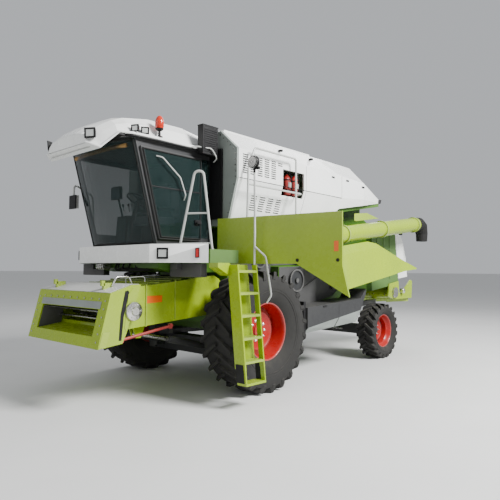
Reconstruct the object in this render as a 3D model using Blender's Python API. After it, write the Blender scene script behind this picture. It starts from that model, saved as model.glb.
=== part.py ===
"""A combine harvester without its header, in metres. +X is the machine's left, -Y its front, +Z up.

The ground is at Z = 0 and the front axle's centre line is at Y = 0.
"""

import math

import bmesh
import bpy
from mathutils import Matrix, Vector

# ---------------------------------------------------------------- driving dimensions
ORIGIN = Vector((0.736738, 1.915, 0.0))  # the frame's origin, measured from the front axle's middle
GAP = 0.0003  # between faces that touch
PLAY = 0.006  # between a moving piece and its neighbour

WHEELBASE = 3.95
FRONT_TYRE = dict(radius=0.893, width=0.62, outer_x=1.68, bead=0.415)
REAR_TYRE = dict(radius=0.560, width=0.39, outer_x=1.47, bead=0.325)
STEER_AXIS_X = 1.00
BODY_HALF = 0.84  # half width of the threshing channel
GUARD_X = 1.02  # outer face of the belt guards
SKIN_X = 1.58  # outer face of the closed side panels
SHEET = 0.025  # thickness of a side panel

CAB_HALF = 0.80
CAB_FLOOR_Z = 2.10
CAB_TOP_Z = 3.58
CAB_REAR_Y = -0.46
PILLAR_BASE = Vector((0.0, -1.43, 2.10))  # foot of the front pillars, in the side view
PILLAR_TOP = Vector((0.0, -1.83, 3.58))
SCREEN_BULGE = 0.17  # how far the windscreen's middle stands ahead of its pillars

DECK_Z = 2.06
DECK_LOW_Z = 1.94
DECK_REAR_Y = -0.67
FASCIA_FRONT_Y = -1.64
FASCIA_SIDE_Y = -1.24
FASCIA_MIDDLE_X = 0.90
FASCIA_SIDE_X = 1.62
FASCIA_TOP_Z = 2.14
FASCIA_LOW_Z = 1.89

TANK_FRONT_Y = -0.385
LEDGE_TOP_Z = 2.475
AUGER_PIVOT = Vector((1.42, 1.80, 2.20))
AUGER_RADIUS = 0.155
AUGER_RISE = math.radians(7.3)
AUGER_LENGTH = 3.72

FEEDER_PIVOT = Vector((0.0, -0.42, 1.42))
PANEL_AXIS = Vector((1.25, -0.273, 1.885))
PANEL_OPEN = math.radians(82)

# ---------------------------------------------------------------- clean start and materials
for old in list(bpy.data.objects):
    bpy.data.objects.remove(old, do_unlink=True)


def paint(name, colour, roughness=0.4, metallic=0.0, transmission=0.0):
    """One Principled material."""
    material = bpy.data.materials.new(name)
    material.use_nodes = True
    shader = material.node_tree.nodes["Principled BSDF"]
    shader.inputs["Base Color"].default_value = (*colour, 1.0)
    shader.inputs["Roughness"].default_value = roughness
    shader.inputs["Metallic"].default_value = metallic
    shader.inputs["Transmission Weight"].default_value = transmission
    return material


LIME = paint("lime_paint", (0.50, 0.62, 0.03), 0.3)
GREEN = paint("dark_green_paint", (0.10, 0.22, 0.02), 0.4)
WHITE = paint("white_paint", (0.82, 0.83, 0.80), 0.35)
GREY = paint("grey_paint", (0.22, 0.24, 0.23), 0.45)
CHARCOAL = paint("charcoal_paint", (0.045, 0.045, 0.048), 0.5)
RED = paint("red_paint", (0.62, 0.03, 0.02), 0.35)
RUBBER = paint("rubber", (0.03, 0.03, 0.03), 0.85)
TYRE = paint("tyre_rubber", (0.045, 0.043, 0.042), 0.9)
STEEL = paint("bright_steel", (0.55, 0.55, 0.54), 0.35, metallic=1.0)
TUBE_GREY = paint("tube_grey", (0.42, 0.43, 0.42), 0.4)
GLASS = paint("tinted_glass", (0.25, 0.35, 0.33), 0.05, transmission=0.9)
PLASTIC = paint("black_plastic", (0.02, 0.02, 0.022), 0.5)
CLOTH = paint("seat_cloth", (0.06, 0.06, 0.07), 0.9)
AMBER = paint("amber_lens", (0.80, 0.12, 0.02), 0.2)


# ---------------------------------------------------------------- making shapes
def finish(name, mesh, material, smooth_angle=None):
    """Turns a bmesh into a named object with one material."""
    bmesh.ops.recalc_face_normals(mesh, faces=mesh.faces)
    data = bpy.data.meshes.new(name)
    mesh.to_mesh(data)
    mesh.free()
    data.materials.append(material)
    obj = bpy.data.objects.new(name, data)
    bpy.context.scene.collection.objects.link(obj)
    if smooth_angle is not None:
        data.shade_smooth()
        data.set_sharp_from_angle(angle=math.radians(smooth_angle))
    return obj


def spot(axis, along, pair):
    """The point at `along` on an axis, with its other two coordinates in X, Y, Z order."""
    first, second = pair
    return {
        "X": Vector((along, first, second)),
        "Y": Vector((first, along, second)),
        "Z": Vector((first, second, along)),
    }[axis]


def prism(name, axis, outline, low, high, material, smooth_angle=None):
    """An outline drawn across an axis and extruded from low to high along it."""
    mesh = bmesh.new()
    start = [mesh.verts.new(spot(axis, low, pair)) for pair in outline]
    end = [mesh.verts.new(spot(axis, high, pair)) for pair in outline]
    mesh.faces.new(start)
    mesh.faces.new(end)
    count = len(outline)
    for i in range(count):
        j = (i + 1) % count
        mesh.faces.new((start[i], start[j], end[j], end[i]))
    return finish(name, mesh, material, smooth_angle)


def block(name, low, high, material):
    """A box between two corners."""
    outline = [(low[0], low[1]), (high[0], low[1]), (high[0], high[1]), (low[0], high[1])]
    return prism(name, "Z", outline, low[2], high[2], material)


def loft(name, rings, material, smooth_angle=None):
    """Rings of equally many points, joined one to the next and closed at both ends."""
    mesh = bmesh.new()
    rows = [[mesh.verts.new(point) for point in ring] for ring in rings]
    mesh.faces.new(rows[0])
    mesh.faces.new(rows[-1])
    count = len(rows[0])
    for row, after in zip(rows, rows[1:]):
        for i in range(count):
            j = (i + 1) % count
            mesh.faces.new((row[i], row[j], after[j], after[i]))
    return finish(name, mesh, material, smooth_angle)


def lathe(name, profile, centre, material, segments=36, smooth_angle=40):
    """A closed profile of (x, radius) pairs turned about the X axis through a centre."""
    mesh = bmesh.new()
    rows = []
    for i in range(segments):
        angle = 2 * math.pi * i / segments
        row = []
        for x, radius in profile:
            if radius == 0 and rows:
                row.append(rows[0][len(row)])
                continue
            offset = Vector((x, radius * math.cos(angle), radius * math.sin(angle)))
            row.append(mesh.verts.new(centre + offset))
        rows.append(row)
    count = len(profile)
    for i in range(segments):
        row = rows[i]
        after = rows[(i + 1) % segments]
        for k in range(count):
            n = (k + 1) % count
            corners = []
            for vert in (row[k], row[n], after[n], after[k]):
                if vert not in corners:
                    corners.append(vert)
            if len(corners) > 2:
                mesh.faces.new(corners)
    return finish(name, mesh, material, smooth_angle)


def tube(name, points, radius, material, sides=8, end_radius=None):
    """A round bar along a list of points, closed at both ends."""
    points = [Vector(point) for point in points]
    steps = [(b - a).normalized() for a, b in zip(points, points[1:])]
    side = steps[0].orthogonal().normalized()
    rings = []
    for i, point in enumerate(points):
        before = steps[max(i - 1, 0)]
        after = steps[min(i, len(steps) - 1)]
        along = (before + after).normalized()
        side = (side - along * side.dot(along)).normalized()
        other = along.cross(side)
        stretch = 1 / max(0.5, along.dot(after))
        share = i / (len(points) - 1)
        size = radius if end_radius is None else radius + (end_radius - radius) * share
        ring = []
        for k in range(sides):
            angle = 2 * math.pi * k / sides
            offset = side * math.cos(angle) + other * math.sin(angle)
            ring.append(point + offset * size * (stretch if 0 < i < len(points) - 1 else 1))
        rings.append(ring)
    return loft(name, rings, material, smooth_angle=50)


def boolean(target, others, operation):
    """Adds one exact Boolean for each helper and hides the helper."""
    for other in others:
        step = target.modifiers.new(other.name, "BOOLEAN")
        step.operation = operation
        step.solver = "EXACT"
        step.object = other
        other.hide_render = True
        other.display_type = "WIRE"
    return target


def union(target, *others):
    return boolean(target, others, "UNION")


def cut(target, *others):
    return boolean(target, others, "DIFFERENCE")


def pivot(obj, point):
    """Moves an object's origin to a world point, with its shape left in place."""
    point = Vector(point)
    obj.data.transform(Matrix.Translation(-point))
    obj.location = point
    return obj


def mirrored(points):
    """The same points on the other side of the machine."""
    return [(-p[0], *p[1:]) for p in points]


def fillet(points, radius, steps=4):
    """A path with each inner corner rounded to a radius."""
    points = [Vector(point) for point in points]
    path = [points[0]]
    for before, corner, after in zip(points, points[1:], points[2:]):
        to_before = (before - corner).normalized()
        to_after = (after - corner).normalized()
        half = to_before.angle(to_after) / 2
        reach = min(radius / math.tan(half), (before - corner).length / 2.01, (after - corner).length / 2.01)
        start = corner + to_before * reach
        end = corner + to_after * reach
        for i in range(steps + 1):
            t = i / steps
            path.append(start * (1 - t) ** 2 + corner * 2 * t * (1 - t) + end * t * t)
    path.append(points[-1])
    return path


# ---------------------------------------------------------------- wheels
def tyre_profile(radius, width, bead):
    """Half-round shoulders on a flat tread, from bead to bead."""
    half = width / 2
    wall = radius - bead
    outer = [
        (-half * 0.70, bead),
        (-half * 0.96, bead + wall * 0.35),
        (-half, bead + wall * 0.62),
        (-half * 0.90, radius - wall * 0.08),
        (-half * 0.62, radius),
    ]
    inner = [(half * 0.58, bead + 0.03), (-half * 0.58, bead + 0.03)]
    return outer + [(-x, r) for x, r in reversed(outer)] + inner


def rim_profile(width, bead, disc_x):
    """A rim with its two flanges, joined to a wheel disc set at disc_x, with its hub on the axis."""
    half = width / 2
    flange = [
        (half * 0.74, bead - 0.030),
        (half * 0.78, bead + 0.012),
        (half * 0.76, bead + 0.012),
        (half * 0.74, bead - 0.002),
    ]
    front = [
        (disc_x + 0.035, 0),
        (disc_x + 0.035, 0.10),
        (disc_x + 0.012, 0.13),
        (disc_x + 0.012, bead - 0.12),
        (disc_x + 0.040, bead - 0.060),
    ]
    back = [
        (disc_x - 0.030, bead - 0.060),
        (disc_x - 0.012, bead - 0.12),
        (disc_x - 0.012, 0),
    ]
    return front + flange + [(-x, r) for x, r in reversed(flange)] + back


def wheel(name, spec, y, side, dish):
    """A tyre and its rim. The dish is how far the disc sits outboard of the wheel's middle."""
    centre_x = spec["outer_x"] - spec["width"] / 2
    centre = Vector((side * centre_x, y, spec["radius"]))
    profile = tyre_profile(spec["radius"], spec["width"], spec["bead"])
    flip = [(side * x, r) for x, r in profile]
    tyre = lathe(name + "_tyre", flip, centre, TYRE, segments=36)
    profile = rim_profile(spec["width"], spec["bead"], dish)
    rim = lathe(name + "_rim", [(side * x, r) for x, r in profile], centre, RED, segments=28)
    pivot(tyre, centre)
    pivot(rim, centre)
    return centre


for side, word in ((1, "left"), (-1, "right")):
    wheel("front_" + word, FRONT_TYRE, 0.0, side, 0.02)
    wheel("rear_" + word, REAR_TYRE, WHEELBASE, side, -0.06)


# ---------------------------------------------------------------- axles and knuckles
def front_axle():
    """A low beam with a final drive at each end that reaches the wheel's disc."""
    beam = block("front_axle", (-0.90, -0.13, 0.43), (0.90, 0.13, 0.62), CHARCOAL)
    parts = []
    for side in (1, -1):
        drive = [(-0.17, 0.43), (0.17, 0.43), (0.20, 0.75), (0.14, 1.06), (-0.14, 1.06), (-0.20, 0.75)]
        low, high = sorted((side * 0.86, side * 1.03))
        parts.append(prism("final_drive_%d" % side, "X", drive, low, high, CHARCOAL))
        hub_end = FRONT_TYRE["outer_x"] - FRONT_TYRE["width"] / 2 + 0.02 - 0.012 - PLAY
        hub = [(side * 1.00, 0), (side * 1.00, 0.13), (side * hub_end, 0.13), (side * hub_end, 0)]
        centre = Vector((0, 0, FRONT_TYRE["radius"]))
        parts.append(lathe("front_hub_%d" % side, hub, centre, CHARCOAL, segments=20))
        bracket = [(-0.30, 0.50), (-0.05, 0.50), (-0.05, 0.61), (-0.12, 0.655), (-0.30, 0.655)]
        low, high = sorted((side * 0.66, side * 0.74))
        parts.append(prism("lift_bracket_%d" % side, "X", bracket, low, high, CHARCOAL))
    post = block("axle_saddle", (-0.52, -0.11, 0.60), (0.52, 0.11, 0.70), CHARCOAL)
    return union(beam, post, *parts)


def rear_axle():
    """A pendulum beam with a raised middle."""
    outline = [(-0.885, 0.46), (0.885, 0.46), (0.885, 0.66), (0.55, 0.66), (0.30, 0.86)]
    outline += [(-0.30, 0.86), (-0.55, 0.66), (-0.885, 0.66)]
    return prism("rear_axle", "Y", outline, WHEELBASE - 0.085, WHEELBASE + 0.085, CHARCOAL)


def knuckle(side, word):
    """The upright on the steering axis, with its stub axle."""
    low, high = sorted((side * (STEER_AXIS_X - 0.075), side * (STEER_AXIS_X + 0.06)))
    upright = block(
        "knuckle_" + word, (low, WHEELBASE - 0.07, 0.42), (high, WHEELBASE + 0.07, 0.70), CHARCOAL
    )
    disc = REAR_TYRE["outer_x"] - REAR_TYRE["width"] / 2 - 0.06 - 0.012 - PLAY
    stub = [(side * 1.03, 0), (side * 1.03, 0.075), (side * disc, 0.075), (side * disc, 0)]
    centre = Vector((0, WHEELBASE, REAR_TYRE["radius"]))
    union(upright, lathe("stub_%d" % side, stub, centre, CHARCOAL, segments=20))
    return upright


front_axle()
rear_axle()
knuckle(1, "left")
knuckle(-1, "right")


# ---------------------------------------------------------------- chassis and threshing body
def chassis_frame():
    """Two rails with cross members, the pendulum's post and the cab's cantilever."""
    rails = []
    for side in (1, -1):
        low, high = sorted((side * 0.42, side * 0.52))
        outline = [(-0.14, 0.7005), (0.20, 0.7005), (2.80, 0.64), (3.55, 0.92), (5.30, 1.02), (5.30, 1.12)]
        outline += [(3.45, 1.05), (2.75, 0.745), (-0.14, 0.785)]
        rails.append(prism("rail_%d" % side, "X", outline, low, high, CHARCOAL))
    bars = [
        block("cross_front", (-0.45, 0.60, 0.70), (0.45, 0.68, 0.76), CHARCOAL),
        block("cross_middle", (-0.45, 2.60, 0.66), (0.45, 2.70, 0.73), CHARCOAL),
        block("pendulum_post", (-0.45, WHEELBASE - 0.07, 0.868), (0.45, WHEELBASE + 0.07, 1.05), CHARCOAL),
    ]
    frame = rails[0]
    frame.name = "chassis_frame"
    return union(frame, rails[1], *bars)


def engine_deck_z(y):
    """Height of the sloping engine deck's top."""
    return 3.00 + 0.165 * (y - 2.67)


def cab_cradle():
    """The cantilever under the cab."""
    under = DECK_LOW_Z - GAP
    outline = [
        (-1.42, 1.82),
        (-1.42, under),
        (0.10, under),
        (0.10, 1.60),
        (-0.10, 1.60),
        (-0.10, 1.76),
        (-1.10, 1.76),
    ]
    return prism("cab_cradle", "X", outline, -0.80, 0.80, GREEN)


def belt_guards():
    """Belts and guards on the flanks of the channel, as one stepped block a side."""
    outline = [(0.96, 1.00), (2.60, 1.30), (3.20, 1.62), (3.20, 2.30), (2.10, 2.30)]
    outline += [(2.05, 1.90), (0.96, 1.86)]
    sides = [sorted((side * (BODY_HALF - 0.02), side * GUARD_X)) for side in (1, -1)]
    return [prism("belt_guard_%d" % k, "X", outline, low, high, GREEN) for k, (low, high) in enumerate(sides)]


def auger_turret():
    """The fixed elbow that brings grain from the channel's side up to the auger's swivel."""
    x, y, z = AUGER_PIVOT
    drum = tube("auger_turret", [(x, y, 1.95), (x, y, z - PLAY)], 0.16, GREEN, 24)
    trough = tube("auger_trough", [(BODY_HALF - 0.02, y, 2.07), (x, y, 2.07)], 0.105, GREEN, 20)
    return [drum, trough]


def main_body():
    """The threshing and walker channel, with the decks that carry the tank and the engine."""
    outline = [
        (-0.10, 0.95),
        (0.10, 0.80),
        (2.70, 0.765),
        (3.40, 1.20),
        (4.28, 1.34),
        (4.28, 2.86),
        (4.00, 2.98),
        (2.30, 2.78),
        (1.95, 2.52),
        (-0.10, 2.52),
    ]
    body = prism("main_body", "X", outline, -BODY_HALF, BODY_HALF, GREEN)
    tank_deck = block("tank_deck", (-1.14, -0.36, 2.46), (1.14, 1.95, 2.555), GREEN)
    deck = [(1.88, 2.46), (1.945, 2.555), (2.45, engine_deck_z(2.45)), (4.12, engine_deck_z(4.12))]
    deck += [(4.12, engine_deck_z(4.12) - 0.07), (2.49, engine_deck_z(2.49) - 0.07), (1.99, 2.46)]
    engine_deck = prism("engine_deck", "X", deck, -1.22, 1.22, GREEN)
    web = [(1.97, 2.44), (2.47, 2.90), (4.06, 3.17), (4.06, 2.90), (2.30, 2.70)]
    engine_web = prism("engine_web", "X", web, -0.80, 0.80, GREEN)
    extras = []
    for side in (1, -1):
        low, high = sorted((side * 1.125, side * 1.195))
        extras.append(block("panel_post_%d" % side, (low, -0.31, 1.92), (high, -0.235, 2.47), GREEN))
        low, high = sorted((side * 1.10, side * 1.515))
        extras.append(block("ledge_%d" % side, (low, -0.35, 2.44), (high, 1.05, LEDGE_TOP_Z), GREEN))
        for k, z in enumerate((2.05, 2.26)):
            low, high = sorted((side * 1.18, side * PANEL_AXIS.x))
            extras.append(
                block("post_lug_%d_%d" % (side, k), (low, -0.295, z), (high, -0.251, z + 0.05), GREEN)
            )
    return union(
        body, tank_deck, engine_deck, engine_web, cab_cradle(), *belt_guards(), *auger_turret(), *extras
    )


chassis_frame()
main_body()


# ---------------------------------------------------------------- grain tank, hood and engine
def hood_ring(y, top, shoulder, knee, foot):
    """One cross-section of the hood. Each argument after y is an (x, z) pair."""
    half = [foot, knee, shoulder, top]
    right = [Vector((-x, y, z)) for x, z in half]
    left = [Vector((x, y, z)) for x, z in reversed(half)]
    return right + left


def hood_rings(inset, drop):
    """The hood's cross-sections from front to rear, moved inwards by inset, with the foot lowered by drop."""
    feet = [(y, engine_deck_z(y) + GAP) for y in (2.45, 3.28, 4.16)]
    table = [
        (TANK_FRONT_Y, (1.00, 3.91), (1.35, 3.60), (1.35, 3.16), (1.15, 2.5553)),
        (1.945, (1.00, 3.91), (1.35, 3.60), (1.35, 3.16), (1.15, 2.5553)),
        (2.45, (1.00, 3.91), (1.35, 3.58), (1.35, 3.17), (1.28, feet[0][1])),
        (3.28, (1.00, 3.90), (1.34, 3.55), (1.34, 3.22), (1.31, feet[1][1])),
        (4.16, (0.94, 3.38), (1.20, 3.33), (1.22, 3.29), (1.22, feet[2][1])),
    ]
    rings = []
    for k, (y, *pairs) in enumerate(table):
        moved = [(x - inset, z - inset) for x, z in pairs[:3]]
        foot = (pairs[3][0] - inset, pairs[3][1] - drop)
        shift = inset if k == 0 else (-inset if k == len(table) - 1 else 0)
        rings.append(hood_ring(y + shift, moved[0], moved[1], moved[2], foot))
    return rings


def tank_hood():
    """A white shell over the grain tank and the engine, open underneath and under its lids."""
    outer = loft("tank_hood", hood_rings(0, 0), WHITE)
    rings = hood_rings(0.035, 0.05)
    front = [rings[0], [Vector((p.x, 1.925, p.z)) for p in rings[1]]]
    rear = [[Vector((p.x, 1.955, p.z)) for p in rings[1]], *rings[2:]]
    hatch = block("hood_hatch", (-0.93, -0.28, 3.80), (0.93, 1.86, 4.00), WHITE)
    recess = block("extinguisher_recess", (1.20, 0.66, 3.02), (1.50, 1.24, 3.44), WHITE)
    return cut(outer, loft("tank_inside", front, WHITE), loft("engine_bay", rear, WHITE), hatch, recess)


def tank_front_wall():
    """The grey bulkhead between cab and tank."""
    outline = [(1.00, 3.90), (1.35, 3.59), (1.35, 3.16), (1.15, 2.46)]
    outline = outline + [(-x, z) for x, z in reversed(outline)]
    low = TANK_FRONT_Y - 0.035
    return prism("tank_front_wall", "Y", outline, low, TANK_FRONT_Y - GAP, GREY)


def tank_lid(side, word):
    """Half of the tank's roof, hinged along its outer edge."""
    low, high = sorted((side * PLAY, side * (0.93 + 0.05)))
    lid = block("tank_lid_" + word, (low, -0.33, 3.9165), (high, 1.91, 3.945), WHITE)
    return pivot(lid, (side * 0.985, 0.79, 3.955))


def engine_block():
    """The engine and its gearbox as one block on the sloping deck."""
    foot = [
        (2.62, engine_deck_z(2.62) + GAP),
        (3.62, engine_deck_z(3.62) + GAP),
        (3.62, 3.50),
        (3.25, 3.74),
        (2.62, 3.76),
    ]
    return prism("engine_block", "X", foot, -0.50, 0.50, CHARCOAL)


tank_hood()
tank_front_wall()
tank_lid(1, "left")
tank_lid(-1, "right")
engine_block()


# ---------------------------------------------------------------- straw hood and chopper
HOOD_HALF = 0.97
HOOD_OUTLINE = [(4.2803, 1.36), (4.2803, 2.85), (5.15, 2.82), (5.38, 2.78), (5.56, 1.50)]
COVER_OUTLINE = [(5.57, 1.62), (5.395, 2.775), (5.60, 2.71), (5.76, 2.58), (5.97, 2.12), (6.03, 1.66)]


def straw_hood():
    """The green walls and roof over the walkers' end, open underneath and to the rear cover."""
    outer = prism("straw_hood", "X", HOOD_OUTLINE, -HOOD_HALF, HOOD_HALF, GREEN)
    inside = [(4.31, 1.20), (4.31, 2.82), (5.14, 2.79), (5.70, 2.76), (5.70, 1.20)]
    return cut(outer, prism("hood_bore", "X", inside, -HOOD_HALF + 0.03, HOOD_HALF - 0.03, GREEN))


def rear_cover():
    """The white tail cover, hinged along its top front edge."""
    outer = prism("rear_cover", "X", COVER_OUTLINE, -HOOD_HALF, HOOD_HALF, WHITE)
    inside = [(5.20, 1.40), (5.20, 2.735), (5.40, 2.735), (5.58, 2.68), (5.735, 2.555), (5.94, 2.11)]
    inside += [(6.00, 1.66), (6.00, 1.40)]
    cut(outer, prism("cover_bore", "X", inside, -HOOD_HALF + 0.03, HOOD_HALF - 0.03, WHITE))
    return pivot(outer, (0, 5.385, 2.80))


def straw_chopper():
    """The chopper's round housing between two cheeks, with the spreading tray behind it."""
    cheek = [(4.98, 1.22), (5.28, 1.14), (6.20, 1.14), (6.24, 1.55), (6.14, 1.58), (5.62, 1.24)]
    cheek += [(5.52, 1.30), (5.50, 1.56), (5.04, 1.50)]
    low = HOOD_HALF + 0.007
    plates = [
        prism("cheek_%d" % side, "X", cheek, *sorted((side * low, side * (low + 0.028))), LIME)
        for side in (1, -1)
    ]
    tray = block("straw_chopper", (-low - 0.01, 5.25, 1.14), (low + 0.01, 6.20, 1.17), LIME)
    drum = [(-low - 0.01, 0), (-low - 0.01, 0.15), (low + 0.01, 0.15), (low + 0.01, 0)]
    housing = lathe("chopper_drum", drum, Vector((0, 5.27, 1.30)), LIME, segments=20)
    ears = []
    for side in (1, -1):
        near, far = sorted((side * (HOOD_HALF + GAP), side * (low + 0.01)))
        ears.append(block("chopper_ear_%d" % side, (near, 5.05, 1.46), (far, 5.45, 1.49), LIME))
    return union(tray, housing, *plates, *ears)


straw_hood()
rear_cover()
straw_chopper()


# ---------------------------------------------------------------- platform, fascia and ladder
def plan_line(inset):
    """The front edge of the platform in plan, from the machine's right to its left."""
    half = FASCIA_SIDE_X - inset
    middle = FASCIA_MIDDLE_X - inset * 0.3
    return [
        (-half, FASCIA_SIDE_Y + inset * 0.8),
        (-middle, FASCIA_FRONT_Y + inset),
        (middle, FASCIA_FRONT_Y + inset),
        (half, FASCIA_SIDE_Y + inset * 0.8),
    ]


def platform():
    """The deck around the cab, with a green band down each side."""
    edge = FASCIA_SIDE_X - 0.0305
    outline = plan_line(0.0305) + [(edge, DECK_REAR_Y), (0.84, DECK_REAR_Y), (0.84, -0.1003)]
    outline += [(-0.84, -0.1003), (-0.84, DECK_REAR_Y), (-edge, DECK_REAR_Y)]
    deck = prism("platform", "Z", outline, DECK_LOW_Z, DECK_Z, GREEN)
    bands = []
    for side in (1, -1):
        low, high = sorted((side * 1.585, side * FASCIA_SIDE_X))
        bands.append(block("band_%d" % side, (low, -1.205, FASCIA_LOW_Z), (high, DECK_REAR_Y, 2.07), LIME))
    return union(deck, *bands)


def cab_fascia():
    """The white bumper around the front of the platform."""
    outline = plan_line(0) + list(reversed(plan_line(0.025)))
    return prism("cab_fascia", "Z", outline, FASCIA_LOW_Z, FASCIA_TOP_Z, WHITE)


def ladder_x(z):
    """The inner edge of the ladder, which leans outwards towards its foot."""
    return 1.72 + 0.15 * (1.87 - z) / 1.35


def ladder_side(name, depth, top, foot, low, high, material):
    """A leaning plate of the ladder, `depth` wide, measured in from the ladder's outer edge."""
    outer_top = ladder_x(top) + 0.18
    outer_foot = ladder_x(foot) + 0.18
    outline = [(outer_top - depth, top), (outer_top, top), (outer_foot, foot), (outer_foot - depth, foot)]
    return prism(name, "Y", outline, low, high, material)


def ladder():
    """Two stringers, a closed back and five treads, hung from a bracket under the platform."""
    front = ladder_side("ladder", 0.18, 1.87, 0.52, -0.985, -0.962, LIME)
    rear = ladder_side("ladder_rear", 0.075, 1.87, 0.52, -0.620, -0.597, LIME)
    back = prism(
        "ladder_back",
        "Y",
        [
            (ladder_x(1.87), 1.87),
            (ladder_x(1.87) + 0.012, 1.87),
            (ladder_x(0.58) + 0.012, 0.58),
            (ladder_x(0.58), 0.58),
        ],
        -0.970,
        -0.605,
        GREEN,
    )
    treads = []
    for k, z in enumerate((1.79, 1.50, 1.21, 0.92, 0.62)):
        low = (ladder_x(z) + 0.004, -0.970, z - 0.028)
        high = (ladder_x(z) + 0.182, -0.610, z)
        treads.append(block("tread_%d" % k, low, high, LIME))
    under = FASCIA_LOW_Z - GAP
    arm = [(-1.20, under), (-1.20, 1.83), (-0.985, 1.72), (-0.965, 1.72), (-0.965, 1.87), (-0.99, under)]
    bracket = prism("ladder_bracket", "X", arm, 1.59, 1.76, LIME)
    straps = [
        ladder_side("strap_front", 0.16, 0.53, 0.32, -0.982, -0.965, LIME),
        ladder_side("strap_rear", 0.07, 0.53, 0.32, -0.617, -0.600, LIME),
    ]
    low = (ladder_x(0.33) + 0.02, -0.975, 0.32)
    low_tread = block("low_tread", low, (ladder_x(0.33) + 0.18, -0.607, 0.35), LIME)
    return union(front, rear, back, bracket, low_tread, *straps, *treads)


def foot_plate(name, point, material, half=0.028):
    """A flange that spreads a rail's foot over the face it stands on."""
    low = (point[0] - half, point[1] - half, point[2])
    return block(name, low, (point[0] + half, point[1] + half, point[2] + 0.010), material)


def platform_handrail():
    """A tall hoop at the platform's front left corner with two crossbars."""
    foot_a = Vector((1.19, -1.37, DECK_Z + GAP))
    foot_b = Vector((1.565, -1.12, DECK_Z + 0.01 + GAP))
    rise = Vector((0, 0, 0.007))
    crown = [Vector((1.51, -1.39, 3.08)), Vector((1.60, -1.32, 3.08))]
    hoop = tube("platform_handrail", fillet([foot_a + rise, *crown, foot_b + rise], 0.07), 0.017, TUBE_GREY)
    parts = [
        foot_plate("hoop_foot_a", foot_a, TUBE_GREY, 0.022),
        foot_plate("hoop_foot_b", foot_b, TUBE_GREY, 0.018),
    ]
    for k, share in enumerate((0.08, 0.47)):
        a = foot_a.lerp(crown[0], share)
        b = foot_b.lerp(crown[1], share)
        parts.append(tube("hoop_bar_%d" % k, [a, b], 0.013, TUBE_GREY))
    return union(hoop, *parts)


def tank_handrail():
    """The rail frame on the outer edge of the service ledge."""
    x = 1.46
    low = LEDGE_TOP_Z + GAP
    frame = [
        (x, -0.32, low + 0.005), (x, -0.30, 3.28), (x, -0.16, 3.62), (x, 0.86, 3.62), (x, 0.86, low + 0.005)
    ]
    rail = tube("tank_handrail", fillet(frame, 0.06), 0.017, TUBE_GREY)
    lower = tube(
        "tank_rail_low",
        fillet([(x, -0.304, 3.06), (x, 1.02, 3.06), (1.37, 1.02, 3.06)], 0.05),
        0.015,
        TUBE_GREY,
    )
    feet = [
        foot_plate("rail_foot_%d" % k, (x, y, low), TUBE_GREY, 0.027)
        for k, y in enumerate((-0.32, 0.86))
    ]
    return union(rail, lower, *feet)


def ladder_handrail():
    """The grab pole at the ladder's rear stringer, with the round mirror on its top."""
    foot = Vector((1.860, -0.6085, 1.8703))
    top = Vector((1.895, -0.655, 3.16))
    pole = tube(
        "ladder_handrail", [foot + Vector((0, 0, 0.004)), (1.895, -0.64, 2.30), top], 0.014, TUBE_GREY
    )
    grab = [(1.893, -0.64, 2.12), (2.01, -0.545, 1.98), (2.085, -0.515, 1.46), (2.03, -0.545, 1.36)]
    mirror = tube("pole_mirror", [(1.895, -0.70, 3.26), (1.895, -0.635, 3.26)], 0.085, PLASTIC, 16)
    stem = tube("mirror_stem", [(1.895, -0.655, 3.14), (1.895, -0.66, 3.24)], 0.012, PLASTIC)
    plate = foot_plate("pole_foot", foot, TUBE_GREY, 0.011)
    return union(pole, plate, tube("grab_bar", fillet(grab, 0.08), 0.012, TUBE_GREY), stem, mirror)


platform()
cab_fascia()
ladder()
platform_handrail()
tank_handrail()
ladder_handrail()


# ---------------------------------------------------------------- cab
def pillar_y(z):
    """The front pillar's position at a height."""
    share = (z - PILLAR_BASE.z) / (PILLAR_TOP.z - PILLAR_BASE.z)
    return PILLAR_BASE.y + (PILLAR_TOP.y - PILLAR_BASE.y) * share


def front_arc(z, half, inset):
    """The bowed front of the cab in plan, from right to left."""
    arc = []
    for k in range(13):
        t = k / 6 - 1
        bow = SCREEN_BULGE * (1 - (half * t / CAB_HALF) ** 2)
        arc.append(Vector((half * t, pillar_y(z) + inset - bow, z)))
    return arc


def cab_ring(z, inset):
    """The cab's outline in plan at a height, moved inwards by inset."""
    half = CAB_HALF - inset
    arc = front_arc(z, half, inset)
    return [Vector((-half, CAB_REAR_Y - inset, z)), *arc, Vector((half, CAB_REAR_Y - inset, z))]


def side_outline(low, high, front, rear):
    """A side window's outline in the side view, with its front edge along the pillar."""
    return [(pillar_y(low) + front, low), (pillar_y(high) + front, high), (rear, high), (rear, low)]


def cab_frame():
    """The cab's shell with its floor and headlining, cut for the windscreen, the door and each window."""
    shell = loft("cab_frame", [cab_ring(DECK_Z + GAP, 0), cab_ring(CAB_TOP_Z, 0)], CHARCOAL)
    room = loft("cab_room", [cab_ring(CAB_FLOOR_Z, 0.045), cab_ring(CAB_TOP_Z - 0.04, 0.045)], CHARCOAL)
    front = prism(
        "screen_cut", "Y", [(-0.735, 2.17), (0.735, 2.17), (0.735, 3.50), (-0.735, 3.50)], -2.4, -1.2, GLASS
    )
    door = prism("door_cut", "X", side_outline(2.25, 3.43, 0.07, -0.69), 0.70, 0.90, GLASS)
    quarter = prism(
        "quarter_cut",
        "X",
        [(-0.61, 2.30), (-0.61, 3.43), (-0.505, 3.43), (-0.505, 2.30)],
        0.70,
        0.90,
        GLASS,
    )
    right = prism("right_cut", "X", side_outline(2.35, 3.48, 0.07, -0.53), -0.90, -0.70, GLASS)
    return cut(shell, room, front, door, quarter, right)


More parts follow.
